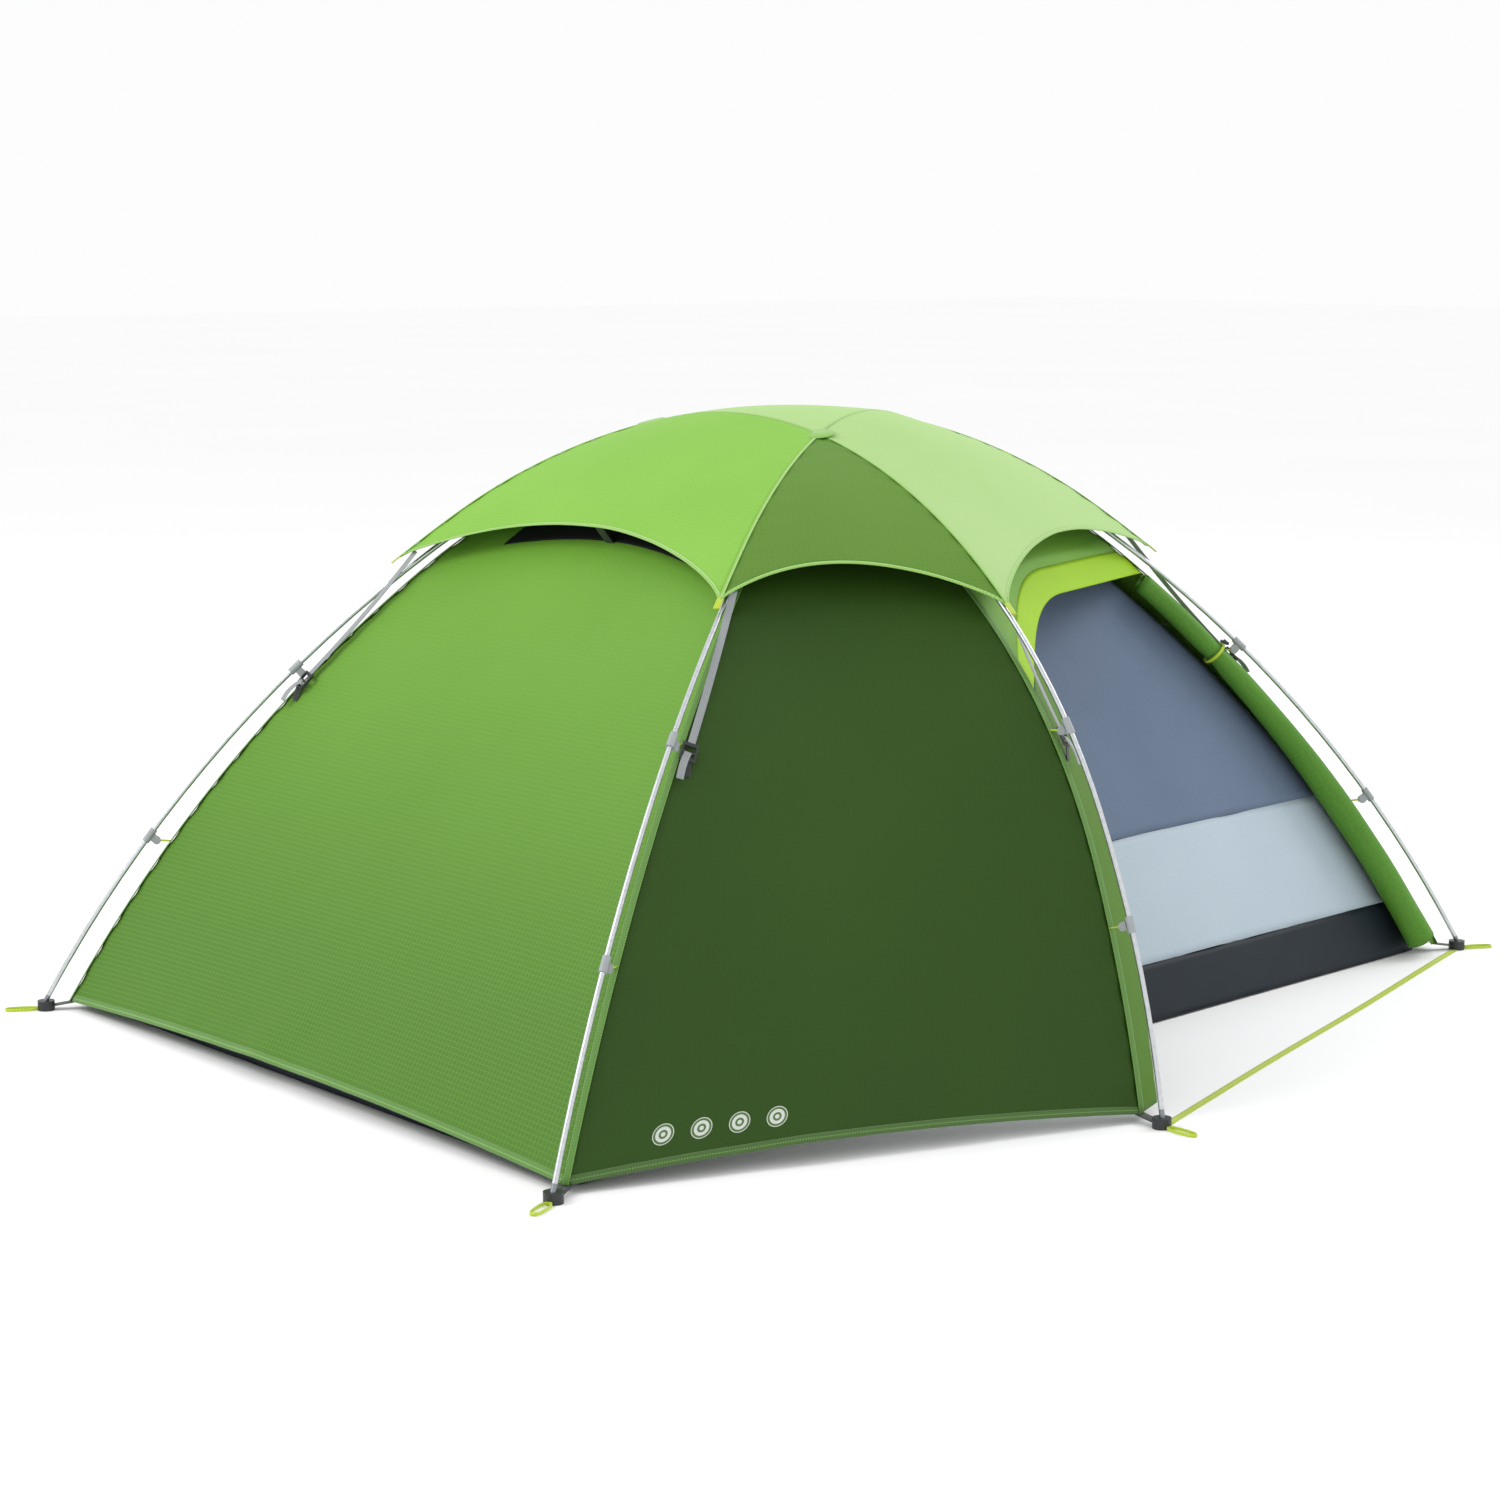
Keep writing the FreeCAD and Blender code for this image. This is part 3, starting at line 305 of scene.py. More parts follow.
FEET = {
    "head_rear": Vector((-LENGTH / 2, HEAD_HALF, 0)),
    "head_front": Vector((-LENGTH / 2, -HEAD_HALF, 0)),
    "mid_front": Vector((MIDDLE_AT - LENGTH / 2, -MIDDLE_HALF, 0)),
    "foot_front": Vector((LENGTH / 2, -FOOT_HALF, 0)),
    "foot_rear": Vector((LENGTH / 2, FOOT_HALF, 0)),
    "mid_rear": Vector((MIDDLE_AT - LENGTH / 2, MIDDLE_HALF, 0)),
}
FAR = {"head_rear": "foot_front", "head_front": "foot_rear", "mid_front": "mid_rear"}
FAR.update({far: near for near, far in FAR.items()})
LONG_SPAN = math.hypot(LENGTH, HEAD_HALF + FOOT_HALF)
LONG_HALF = LONG_SPAN / 2
SHORT_CROSS = HEAD_HALF - (HEAD_HALF + FOOT_HALF) * MIDDLE_AT / LENGTH
HEAD_CROSS = LONG_HALF - MIDDLE_AT / LENGTH * LONG_SPAN
AXIS_CROSS = HEAD_HALF / (HEAD_HALF + FOOT_HALF) * LONG_SPAN - LONG_HALF
CROSS = {
    "head_rear": HEAD_CROSS,
    "head_front": HEAD_CROSS,
    "mid_front": SHORT_CROSS,
    "mid_rear": SHORT_CROSS,
    "foot_front": AXIS_CROSS,
    "foot_rear": AXIS_CROSS,
}


def six_legs(
    change, height, lift, long_leg=LONG_LEG_R, short_crown=SHORT_CROWN_R, short_leg=SHORT_LEG_R
):
    """The six lines of a layer that stands `change` outside the pole feet."""
    long_arch = Arch(LONG_HALF + change, height, LONG_CROWN_R, long_leg)
    meet = long_arch.crown_height(HEAD_CROSS) + lift
    top = meet + short_crown - math.sqrt(short_crown ** 2 - SHORT_CROSS ** 2)
    short_arch = Arch(MIDDLE_HALF + change, top, short_crown, short_leg)
    return {
        name: Leg(short_arch if name.startswith("mid") else long_arch, foot, FEET[FAR[name]])
        for name, foot in FEET.items()
    }


POLES = six_legs(0.0, POLE_HEIGHT, 2 * STACK_STEP)
FLY = six_legs(-FLY_INSET, POLE_HEIGHT - FLY_DROP, 0.0, *FLY_RADII)
CAP = six_legs(CAP_OUTSET, POLE_HEIGHT + 2 * STACK_STEP + POLE_RADIUS + CAP_LIFT, 0.0)
PAIRS = {
    "head": ("head_rear", "head_front"),
    "front": ("head_front", "mid_front"),
    "door": ("mid_front", "foot_front"),
    "foot": ("foot_front", "foot_rear"),
    "rear_door": ("foot_rear", "mid_rear"),
    "rear": ("mid_rear", "head_rear"),
}
RIM = {"head": "mid_rear", "door": "head_front", "rear_door": "head_rear"}
HEM_HEIGHT = 0.014
TOP_CUT = 0.002


class Panel:
    """The cloth between two lines. A point on it is u across and t up, both 0 to 1."""

    def __init__(self, legs, name, sag, lift):
        first, second = PAIRS[name]
        self.a = legs[first]
        self.b = legs[second]
        self.low = (self.a.arch.at_height(HEM_HEIGHT), self.b.arch.at_height(HEM_HEIGHT))
        self.high = (self.a.arch.at_offset(CROSS[first]), self.b.arch.at_offset(CROSS[second]))
        self.sag = sag
        self.lift = lift
        self.rim = legs[RIM[name]] if name in RIM else None
        if self.rim:
            ends = [leg.point(at) - self.rim.middle for leg, at in zip((self.a, self.b), self.high)]
            self.rim_ends = [self.rim.arch.at_offset(end.dot(self.rim.out)) for end in ends]
        else:
            self.high = (self.high[0] - TOP_CUT, self.high[1] - TOP_CUT)

    def lengths(self, t):
        return [low + (high - low) * t for low, high in zip(self.low, self.high)]

    def base(self, u, t):
        at_a, at_b = self.lengths(t)
        return self.a.point(at_a) * (1 - u) + self.b.point(at_b) * u

    def normal(self, u, t):
        at_a, at_b = self.lengths(t)
        return (self.a.normal(at_a) * (1 - u) + self.b.normal(at_b) * u).normalized()

    def point(self, u, t):
        place = self.base(u, t)
        if self.rim:
            at = self.rim_ends[0] + (self.rim_ends[1] - self.rim_ends[0]) * u
            place += (self.rim.point(at) - self.base(u, 1.0)) * t ** 3
        place += UP * (self.lift * 4 * u * (1 - u) * (1 - t) ** 3)
        return place - self.normal(u, t) * (self.sag * math.sin(math.pi * u) * math.sin(math.pi * t))

    def width(self, t):
        return (self.base(1, t) - self.base(0, t)).length

    def height(self):
        return max(self.high[0] - self.low[0], self.high[1] - self.low[1])


# The fly: six panels of coated ripstop polyester, light green at the ends and dark green on
# the sides, seamed under the poles and hung from them. Cut flat, pulled tight, it sags a
# little between the seams, puckers along the stitching and ripples from its corners.
FLY_PANELS = {name: Panel(FLY, name, 0.018, 0.020) for name in PAIRS}
SEAM_GAP = 0.00035
CLOTH_T = 0.0008


def spread(panel, left=None, right=None, bottom=None, top=None):
    """Places on part of a panel, as the cutter marks it: sides by t, bottom and top by u."""
    def place(a, b):
        u = a
        for _ in range(2):
            t0 = bottom(u) if bottom else 0.0
            t1 = top(u) if top else 1.0 - SEAM_GAP / panel.height()
            t = t0 + (t1 - t0) * b
            edge = SEAM_GAP / panel.width(t)
            u0 = left(t) if left else edge
            u1 = right(t) if right else 1.0 - edge
            u = u0 + (u1 - u0) * a
        return u, t
    return place


def pulled(panel, out=0.0, seed=0.0, pucker=0.0011, billow=0.0035):
    """The surface of pulled cloth: soft billows, and puckers that fade away from the seams."""
    def surface(u, t):
        wide = panel.width(t)
        up_cloth = t * panel.height()
        edge = min(u, 1 - u) * wide
        fade = math.exp(-edge / 0.040)
        beat = 3.0 * noise.noise(Vector((u * 2.0, up_cloth * 3.0, seed)))
        ripple = pucker * fade * math.sin(up_cloth * math.tau / 0.060 + beat)
        free = math.sin(math.pi * u) * (1 - t) ** 0.5
        swell = billow * free * noise.noise(Vector((u * wide * 3.2, up_cloth * 1.6, seed + 9.0)))
        slant = (u * wide - up_cloth * 0.5) * 9.0
        drag = 0.0022 * free * noise.noise(Vector((slant, up_cloth * 1.3, seed)))
        frill = noise.noise(Vector((u * wide * 9.0, 0.0, seed)))
        hem = 0.004 * math.exp(-up_cloth / 0.09) * free * frill
        return panel.point(u, t) + panel.normal(u, t) * (out + ripple + swell + drag + hem)
    return surface


def finish_piece(bm, name, finish, slot, nodes=(), body="tent"):
    """Makes the mesh a piece of the tent that stands for its parts of the frame."""
    mesh = bpy.data.meshes.new(name)
    bm.to_mesh(mesh)
    bm.free()
    mesh.materials.append(finish)
    for face in mesh.polygons:
        face.use_smooth = True
    piece = bpy.data.objects.new(name, mesh)
    bpy.context.collection.objects.link(piece)
    if body:
        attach(piece, body)
    if nodes:
        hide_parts(*nodes)
    return piece


def lay_grid(bm, columns, rows, place, chart):
    """A grid of cloth put in place. chart gives the cloth's own flat coordinates, in metres."""
    layer = bm.loops.layers.uv.verify()
    made = bmesh.ops.create_grid(bm, x_segments=columns, y_segments=rows, size=0.5, calc_uvs=True)
    spots = {vert: (vert.co.x + 0.5, vert.co.y + 0.5) for vert in made["verts"]}
    flats = {vert: chart(*spot) for vert, spot in spots.items()}
    for vert, spot in spots.items():
        vert.co = place(*spot)
    for face in {face for vert in spots for face in vert.link_faces}:
        for loop in face.loops:
            loop[layer].uv = flats[loop.vert]
    return list(spots)


def give_wall(piece, thick, offset=-1.0):
    """Gives a sheet its thickness."""
    wall = piece.modifiers.new("cloth_thickness", "SOLIDIFY")
    wall.thickness = thick
    wall.offset = offset


def cloth(name, lays, finish, slot, nodes=()):
    """A piece of cloth of one or more lays, each (panel, places, surface, columns, rows)."""
    bm = bmesh.new()
    for panel, places, surface, columns, rows in lays:
        def flat(a, b):
            u, t = places(a, b)
            return ((u - 0.5) * panel.width(t), t * panel.height())
        lay_grid(bm, columns, rows, lambda a, b: surface(*places(a, b)), flat)
    piece = finish_piece(bm, name, finish, slot, nodes)
    give_wall(piece, CLOTH_T)
    return piece


RIPPLE_SCALE = 2.5


def woven_finish(
    name, light, dark, thread_mm, ripstop_mm, roughness=0.55, sheen=0.0, relief=0.5, low=None
):
    """Woven polyester: fine warp and weft, a ripstop square, a soft coated sheen.

    low is a deeper colour mixed in towards the ground: painted shade, the cloth darker low down and lighter up
    high, as the light falls on it.
    """
    finish, shader = new_finish(
        name, Sheen_Weight=sheen, Sheen_Roughness=0.45, IOR=1.5, Specular_IOR_Level=0.2
    )
    shader.inputs["Sheen Tint"].default_value = linear(light)
    place = add_node(finish, "TexCoord")
    threads = []
    for gap in (thread_mm, ripstop_mm or thread_mm):
        for way in ("X", "Y"):
            bands = add_node(
                finish, "TexWave",
                {"Vector": place.outputs["UV"], "Scale": math.pi / 10 / (gap / 1000)},
                wave_type="BANDS", bands_direction=way,
            )
            threads.append(bands.outputs["Fac"])
    weave = add_node(finish, "Math", {0: threads[0], 1: threads[1]}, operation="MULTIPLY")
    grid = add_node(finish, "Math", {0: threads[2], 1: threads[3]}, operation="MAXIMUM")
    thick = add_node(finish, "Math", {0: grid.outputs[0], 1: 14.0}, operation="POWER")
    squares = add_node(
        finish, "Math", {0: thick.outputs[0], 1: 0.4 if ripstop_mm else 0.0},
        operation="MULTIPLY",
    )
    relief_sum = add_node(finish, "Math", {0: weave.outputs[0], 1: squares.outputs[0]}, operation="ADD")
    cloud = add_node(
        finish, "TexNoise",
        {"Vector": place.outputs["Object"], "Scale": RIPPLE_SCALE, "Detail": 4.0, "Roughness": 0.55},
    )
    speck = add_node(
        finish, "TexNoise",
        {"Vector": place.outputs["UV"], "Scale": 220.0, "Detail": 2.0},
    )
    share = add_node(finish, "Math", {0: cloud.outputs["Fac"], 1: speck.outputs["Fac"]}, operation="ADD")
    stain = add_node(
        finish, "MapRange",
        {"Value": share.outputs[0], "From Min": 0.65, "From Max": 1.35},
    )
    tone = add_node(
        finish, "Mix",
        {"Factor": stain.outputs["Result"], 6: linear(dark), 7: linear(light)}, data_type="RGBA",
    )
    # Painted shade: below 0.9 m the colour darkens towards low, down to 0.1 m.
    if low:
        split = add_node(finish, "SeparateXYZ", {"Vector": place.outputs["Object"]})
        level = add_node(
            finish, "MapRange",
            {"Value": split.outputs["Z"], "From Min": 0.1, "From Max": 0.9},
            interpolation_type="SMOOTHSTEP",
        )
        tone = add_node(
            finish, "Mix",
            {"Factor": level.outputs["Result"], 6: linear(low), 7: tone.outputs[2]},
            data_type="RGBA",
        )
    raised = add_node(
        finish, "Mix",
        {"Factor": squares.outputs[0], 6: tone.outputs[2], 7: linear(light)}, data_type="RGBA",
    )
    bump = add_node(
        finish, "Bump",
        {"Height": relief_sum.outputs[0], "Strength": relief, "Distance": 0.0002},
    )
    dull = add_node(
        finish, "MapRange",
        {"Value": speck.outputs["Fac"], "To Min": roughness - 0.07, "To Max": roughness + 0.07},
    )
    feed(finish, shader, raised.outputs[2], bump, dull)
    return finish


# the real threads are about 0.3 mm apart and the ripstop squares 5 mm; both are drawn coarser
# The light green cloth's low colour paints shade on the lower part of its panels.
light_ripstop = woven_finish("light_green_ripstop", "#70A338", "#63952F", 2.2, 9.0, low="#4C7627")
dark_ripstop = woven_finish("dark_green_ripstop", "#2F4E14", "#284410", 2.2, 9.0)
FLY_SEEDS = {"head": 1.0, "front": 2.0, "foot": 3.0, "rear": 4.0, "rear_door": 6.0}
for name, finish, slot, cut in (
    ("head", light_ripstop, "fly_light_green", (1.4, 1.49, 1.38)),
    ("front", dark_ripstop, "fly_dark_green", (0.95, 1.38, 0.69)),
    ("foot", light_ripstop, "fly_light_green", (1.03, 1.34, 0.756)),
    ("rear", dark_ripstop, "fly_dark_green", (0.95, 1.38, 0.69)),
):
    panel = FLY_PANELS[name]
    lay = (panel, spread(panel), pulled(panel, seed=FLY_SEEDS[name]), 90, 110)
    piece = cloth("fly_" + name + "_cloth", [lay], finish, slot, ["fly_" + name + "_panel"])


def crown_lay(legs):
    """The small three-sided top panel, from the short pole to where the long poles cross."""
    first, second, across = legs["head_rear"], legs["head_front"], legs["mid_rear"]
    start = first.arch.at_offset(HEAD_CROSS) + SEAM_GAP
    end = first.arch.at_offset(-AXIS_CROSS) - TOP_CUT

    def surface(a, b):
        at = start + (end - start) * b
        one, other = first.point(at), second.point(at)
        reach = (one - other).length / 2
        rise = across.arch.crown_r - math.sqrt(across.arch.crown_r ** 2 - reach ** 2)
        u = SEAM_GAP / reach + (1 - 2 * SEAM_GAP / reach) * a
        return one * (1 - u) + other * u + UP * (rise * 4 * u * (1 - u) * (1 - b))

    def flat(a, b):
        return ((a - 0.5) * 2 * SHORT_CROSS * (1 - b), b * (end - start))

    return surface, flat


def crown_cloth(name, legs, finish, slot, node):
    bm = bmesh.new()
    surface, flat = crown_lay(legs)
    lay_grid(bm, 40, 40, surface, flat)
    piece = finish_piece(bm, name, finish, slot, [node])
    give_wall(piece, CLOTH_T)


crown_cloth("fly_crown_cloth", FLY, light_ripstop, "fly_light_green", "fly_crown_panel")


# The fly's seams and hem: every seam is lapped, then covered with a stitched tape 11 mm wide,
# and the hem is turned up twice and stitched. Both are the same polyester as the panels,
# pressed flat, with a row of thread along each edge.
def sweep(bm, line, across, wide, deep, rings, sides=12, square=1.0, loop=False):
    """A bar of rounded section along a line. across gives the way its width lies."""
    length = sum((line((n + 1) / rings) - line(n / rings)).length for n in range(rings))
    span = 1e-3

    def place(a, b):
        turn = a * math.tau
        ahead = (line(b + span) - line(b - span)).normalized()
        side = across(b)
        side = (side - ahead * side.dot(ahead)).normalized()
        out = side.cross(ahead)
        x = math.copysign(abs(math.cos(turn)) ** square, math.cos(turn)) * wide / 2
        y = math.copysign(abs(math.sin(turn)) ** square, math.sin(turn)) * deep / 2
        return line(b) + side * x + out * y

    verts = lay_grid(bm, sides, rings, place, lambda a, b: (a * 2 * (wide + deep), b * length))
    bmesh.ops.remove_doubles(bm, verts=verts, dist=1e-6)
    verts = [vert for vert in verts if vert.is_valid]
    edges = {edge for vert in verts for edge in vert.link_edges}
    if not loop:
        bmesh.ops.holes_fill(bm, edges=[edge for edge in edges if edge.is_boundary], sides=0)
    faces = {face for vert in verts for face in vert.link_faces}
    bmesh.ops.recalc_face_normals(bm, faces=list(faces))


STITCH = 0.0045
TAPE_ROUGHNESS = 0.6


def stitched_finish(name, light, dark, thread="#C9D8A8", sewn=True):
    """Pressed tape or webbing: close ribs across it and a dashed row of thread down it."""
    finish, shader = new_finish(name, Sheen_Weight=0.2, IOR=1.5)
    place = add_node(finish, "TexCoord")
    rib = add_node(
        finish, "TexWave",
        {"Vector": place.outputs["UV"], "Scale": math.pi / 10 / 0.0022}, wave_type="BANDS",
        bands_direction="Y",
    )
    cord = add_node(
        finish, "TexWave",
        {"Vector": place.outputs["UV"], "Scale": math.pi / 10 / 0.0016}, wave_type="BANDS",
        bands_direction="X",
    )
    ribs = add_node(finish, "Math", {0: rib.outputs["Fac"], 1: cord.outputs["Fac"]}, operation="MULTIPLY")
    tone = add_node(
        finish, "Mix", {"Factor": ribs.outputs[0], 6: linear(dark), 7: linear(light)},
        data_type="RGBA",
    )
    colour = tone.outputs[2]
    height = ribs.outputs[0]
    if sewn:
        dash = add_node(
            finish, "TexWave",
            {"Vector": place.outputs["UV"], "Scale": math.pi / 10 / STITCH}, wave_type="BANDS",
            bands_direction="Y",
        )
        on = add_node(finish, "Math", {0: dash.outputs["Fac"], 1: 0.45}, operation="GREATER_THAN")
        split = add_node(finish, "SeparateXYZ", {"Vector": place.outputs["UV"]})
        row = add_node(
            finish, "Math", {0: split.outputs["X"], 1: 0.0065}, operation="PINGPONG",
        )
        near = add_node(
            finish, "Math", {0: row.outputs[0], 1: 0.0028, 2: 0.0005},
            operation="COMPARE",
        )
        thread_on = add_node(finish, "Math", {0: on.outputs[0], 1: near.outputs[0]}, operation="MULTIPLY")
        sewn_tone = add_node(
            finish, "Mix", {"Factor": thread_on.outputs[0], 6: colour, 7: linear(thread)},
            data_type="RGBA",
        )
        colour = sewn_tone.outputs[2]
        total = add_node(finish, "Math", {0: height, 1: thread_on.outputs[0]}, operation="ADD")
        height = total.outputs[0]
    bump = add_node(finish, "Bump", {"Height": height, "Strength": 0.5, "Distance": 0.0004})
    dull = add_node(
        finish, "MapRange",
        {"Value": ribs.outputs[0], "To Min": TAPE_ROUGHNESS - 0.06, "To Max": TAPE_ROUGHNESS + 0.06},
    )
    feed(finish, shader, colour, bump, dull)
    return finish


SEAM_TAPE = (0.011, 0.0020)
SEAM_LIFT = 0.0012
HEM_TAPE = (0.013, 0.0026)
HEM_RISE = 0.006
light_tape = stitched_finish("light_green_seam_tape", "#5C8E30", "#4A7A25", thread="#8FB85C")
dark_tape = stitched_finish("dark_green_seam_tape", "#4A7427", "#355819", thread="#6F9B45")
seam_bm = bmesh.new()
for name, leg in FLY.items():
    start = leg.arch.at_height(HEM_HEIGHT)
    end = leg.arch.at_offset(CROSS[name]) - 0.004

    def seam_line(b):
        at = start + (end - start) * b
        return leg.point(at) + leg.normal(at) * SEAM_LIFT

    sweep(seam_bm, seam_line, lambda b: leg.side, *SEAM_TAPE, 90, square=0.6)
finish_piece(seam_bm, "fly_seam_tapes", light_tape, "fly_light_green")


def hem_line(panel, surface, rise):
    return lambda b: surface(min(max(b, 0.002), 0.998), rise / panel.height())


for label, finish, slot, names in (
    ("light", light_tape, "fly_light_green", ("head", "foot", "rear_door")),
    ("dark", dark_tape, "fly_dark_green", ("front", "rear")),
):
    hem_bm = bmesh.new()
    for name in names:
        panel = FLY_PANELS[name]
        surface = pulled(panel, out=0.0002, seed=FLY_SEEDS[name])
        line = hem_line(panel, surface, HEM_RISE)
        sweep(hem_bm, line, lambda b: panel.a.tangent(panel.low[0]), *HEM_TAPE, 120, square=0.6)
    finish_piece(hem_bm, "fly_hem_" + label, finish, slot)

# The front doorway: a light strip with a dark storm edge down the middle pole, a narrow strip
# down the foot pole, a lime facing round the arch, and the piece of fly over the arch.
# The strips are fly cloth, and the facing is lime polyester, stitched flat to it.
DOOR_SIDE_LOW = 0.062
DOOR_SIDE_HIGH = 0.110
DOOR_SIDE_HIGH_T = 0.7
DOOR_TOP_DEPTH = 0.507
DOOR_BAND_DEPTH = 0.065
DOOR_STRIP = 0.026
BAND_GAP = 0.0065
CORNER_SHARE = 0.5
CORNER_DROP = 0.13


def door_side(panel):
    return lambda t: (
        DOOR_SIDE_LOW + (DOOR_SIDE_HIGH - DOOR_SIDE_LOW) * min(1.0, t / DOOR_SIDE_HIGH_T)
    ) / panel.width(t)


def arch_line(panel, depth, middle_first):
    """A curve over the doorway, round at the middle pole's side."""
    def line(u):
        v = u if middle_first else 1 - u
        corner = min(1.0, max(0.0, 1 - v / CORNER_SHARE)) ** 2
        return 1 - depth / panel.height() - corner * CORNER_DROP
    return line


lime_facing = woven_finish("lime_polyester_facing", "#9CC800", "#8BB800", 2.0, None)
strip_cloth = woven_finish("storm_strip_cloth", "#557F20", "#466F18", 2.2, 9.0)
door = FLY_PANELS["door"]
door_gap = BAND_GAP / door.height()
door_edge = arch_line(door, DOOR_TOP_DEPTH, True)
band_edge = arch_line(door, DOOR_TOP_DEPTH - DOOR_BAND_DEPTH, True)
side = door_side(door)
door_face = pulled(door, seed=5.0, billow=0.0015)
side_places = spread(door, right=side, top=lambda u: door_edge(u) - door_gap)
roll_places = spread(
    door, left=lambda t: 1 - DOOR_STRIP / door.width(t), top=lambda u: door_edge(u) - door_gap
)
band_places = spread(
    door, bottom=door_edge, top=lambda u: band_edge(u) - 2 * SEAM_GAP / door.height()
)
top_places = spread(door, bottom=band_edge)
FACING_CUT = (0.97, 0.17, 0.051)
DOOR_TOP_CUT = (0.92, 0.49, 0.276)
for name, places, columns, rows, finish, slot, node, cut in (
    ("door_side_cloth", side_places, 16, 90, strip_cloth, "fly_light_green", "door_side_strip",
     (0.11, 0.76, 0.057)),
    ("door_roll_edge_cloth", roll_places, 8, 90, light_ripstop, "fly_light_green", "door_roll_strip",
     (0.028, 0.95, 0.022)),
    ("door_arch_facing", band_places, 60, 8, lime_facing, "lime_band", "door_arch_band", FACING_CUT),
    ("door_top_cloth", top_places, 60, 16, light_ripstop, "fly_light_green", "door_top_panel",
     DOOR_TOP_CUT),
):
    piece = cloth(name, [(door, places, door_face, columns, rows)], finish, slot, [node])

# The rolled front door: the door leaf wound up tight on itself towards the foot pole, its
# outer turns a little loose. It is one piece of light fly cloth, about ten turns, and an
# elastic loop with a toggle holds it beside its strip.
DOOR_LEAF_CUT = (1.33, 0.92, 0.88)
ROLL_R = 0.030
ROLL_TOP_R = 0.019
ROLL_CORE_R = 0.004
ROLL_TURNS = 10
ROLL_LOW_T = 0.02
ROLL_HIGH_T = 0.645
ROLL_TIE_AT = 0.7816
TIE_T = 0.0024
TIE_WIDE = 0.006
SEAT = 0.0003


def roll_edge(share):
    t = ROLL_LOW_T + (ROLL_HIGH_T - ROLL_LOW_T) * share
    u = 1 - DOOR_STRIP / door.width(t)
    return door.point(u, t) - door.normal(u, t) * 0.0008, u, t


def roll_frame(share):
    """The middle of the roll, its direction, its radius and the way to its strip."""
    edge, u, t = roll_edge(share)
    way = (roll_edge(share + 0.01)[0] - roll_edge(share - 0.01)[0]).normalized()
    into = door.point(u - 0.02, t) - door.point(u, t)
    into = (into - way * into.dot(way)).normalized()
    radius = ROLL_R + (ROLL_TOP_R - ROLL_R) * share
    return edge + into * (radius + TIE_T + 2 * SEAT), way, radius, -into


def roll_cloth(a, b):
    """A spiral: a runs from the strip's edge to the core, b up the roll."""
    centre, way, radius, out = roll_frame(b)
    turn = a * ROLL_TURNS * math.tau
    grip = 1.0 - 0.16 * math.exp(-((b - ROLL_TIE_AT) / 0.035) ** 2)
    loose = 1.0 + 0.05 * noise.noise(Vector((math.cos(turn) * 0.8, math.sin(turn) * 0.8, b * 7.0)))
    fold = 1.0 + 0.035 * math.sin(turn * 2.0 + b * 9.0) * (1 - a)
    reach = (ROLL_CORE_R + (radius * 0.97 - ROLL_CORE_R) * (1 - a)) * grip * loose * fold
    side = way.cross(out)
    ends = (1 if b < 0.5 else -1) * abs(2 * b - 1) ** 6
    slip = 0.010 * noise.noise(Vector((a * 4.0, 0.0, 3.0))) * ends
    return centre + (out * math.cos(turn) + side * math.sin(turn)) * reach + way * slip


door_cloth = woven_finish("door_leaf_ripstop", "#578C2F", "#457623", 2.2, 9.0)
roll_bm = bmesh.new()
lay_grid(roll_bm, 26 * ROLL_TURNS, 90, roll_cloth, lambda a, b: (a * 0.9, b * 0.95))
door_roll = finish_piece(roll_bm, "door_leaf_rolled", door_cloth, "rolled_door", ["door_roll"])
give_wall(door_roll, 0.0007, 0.0)

lime_elastic = stitched_finish("lime_braided_elastic", "#C3DC1E", "#9DB80C", sewn=False)
tie_bm = bmesh.new()
tie_centre, tie_way, tie_radius, tie_out = roll_frame(ROLL_TIE_AT)
tie_side = tie_way.cross(tie_out)


def tie_line(b):
    turn = b * math.tau
    reach = tie_radius + TIE_T * 0.6
    return tie_centre + (tie_out * math.cos(turn) + tie_side * math.sin(turn)) * reach


sweep(tie_bm, tie_line, lambda b: tie_way, TIE_WIDE, 0.0018, 72, square=0.5, loop=True)
finish_piece(tie_bm, "door_tie_elastic", lime_elastic, "elastic_cord", ["door_tie_loop"])
dress(black_nylon, "door_toggle")

# The closed rear door: strips each side, a lime facing round its arch, the cloth over it, and
# the door leaf zipped into the opening. The zip runs up the middle pole's side.
rear_door = FLY_PANELS["rear_door"]
rear_gap = BAND_GAP / rear_door.height()
rear_edge = arch_line(rear_door, DOOR_TOP_DEPTH, False)
rear_band_edge = arch_line(rear_door, DOOR_TOP_DEPTH - DOOR_BAND_DEPTH, False)
rear_side = door_side(rear_door)
rear_face = pulled(rear_door, seed=6.0, billow=0.0025)


def rear_low(u):
    return rear_edge(u) - rear_gap


strip_pair = (
    spread(rear_door, left=lambda t: 1 - rear_side(t), top=rear_low),
    spread(rear_door, right=lambda t: DOOR_STRIP / rear_door.width(t), top=rear_low),
)
rear_strips = cloth(
    "rear_door_strip_cloth",
    [(rear_door, places, rear_face, 12, 90) for places in strip_pair],
    strip_cloth, "fly_light_green", ["rear_door_strips"],
)
leaf_places = spread(
    rear_door,
    left=lambda t: (DOOR_STRIP + 2 * SEAM_GAP) / rear_door.width(t),
    right=lambda t: 1 - rear_side(t) - 2 * SEAM_GAP / rear_door.width(t),
    top=lambda u: rear_edge(u) - 0.0004,
)
rear_band_places = spread(
    rear_door, bottom=rear_edge, top=lambda u: rear_band_edge(u) - 2 * SEAM_GAP / rear_door.height()
)
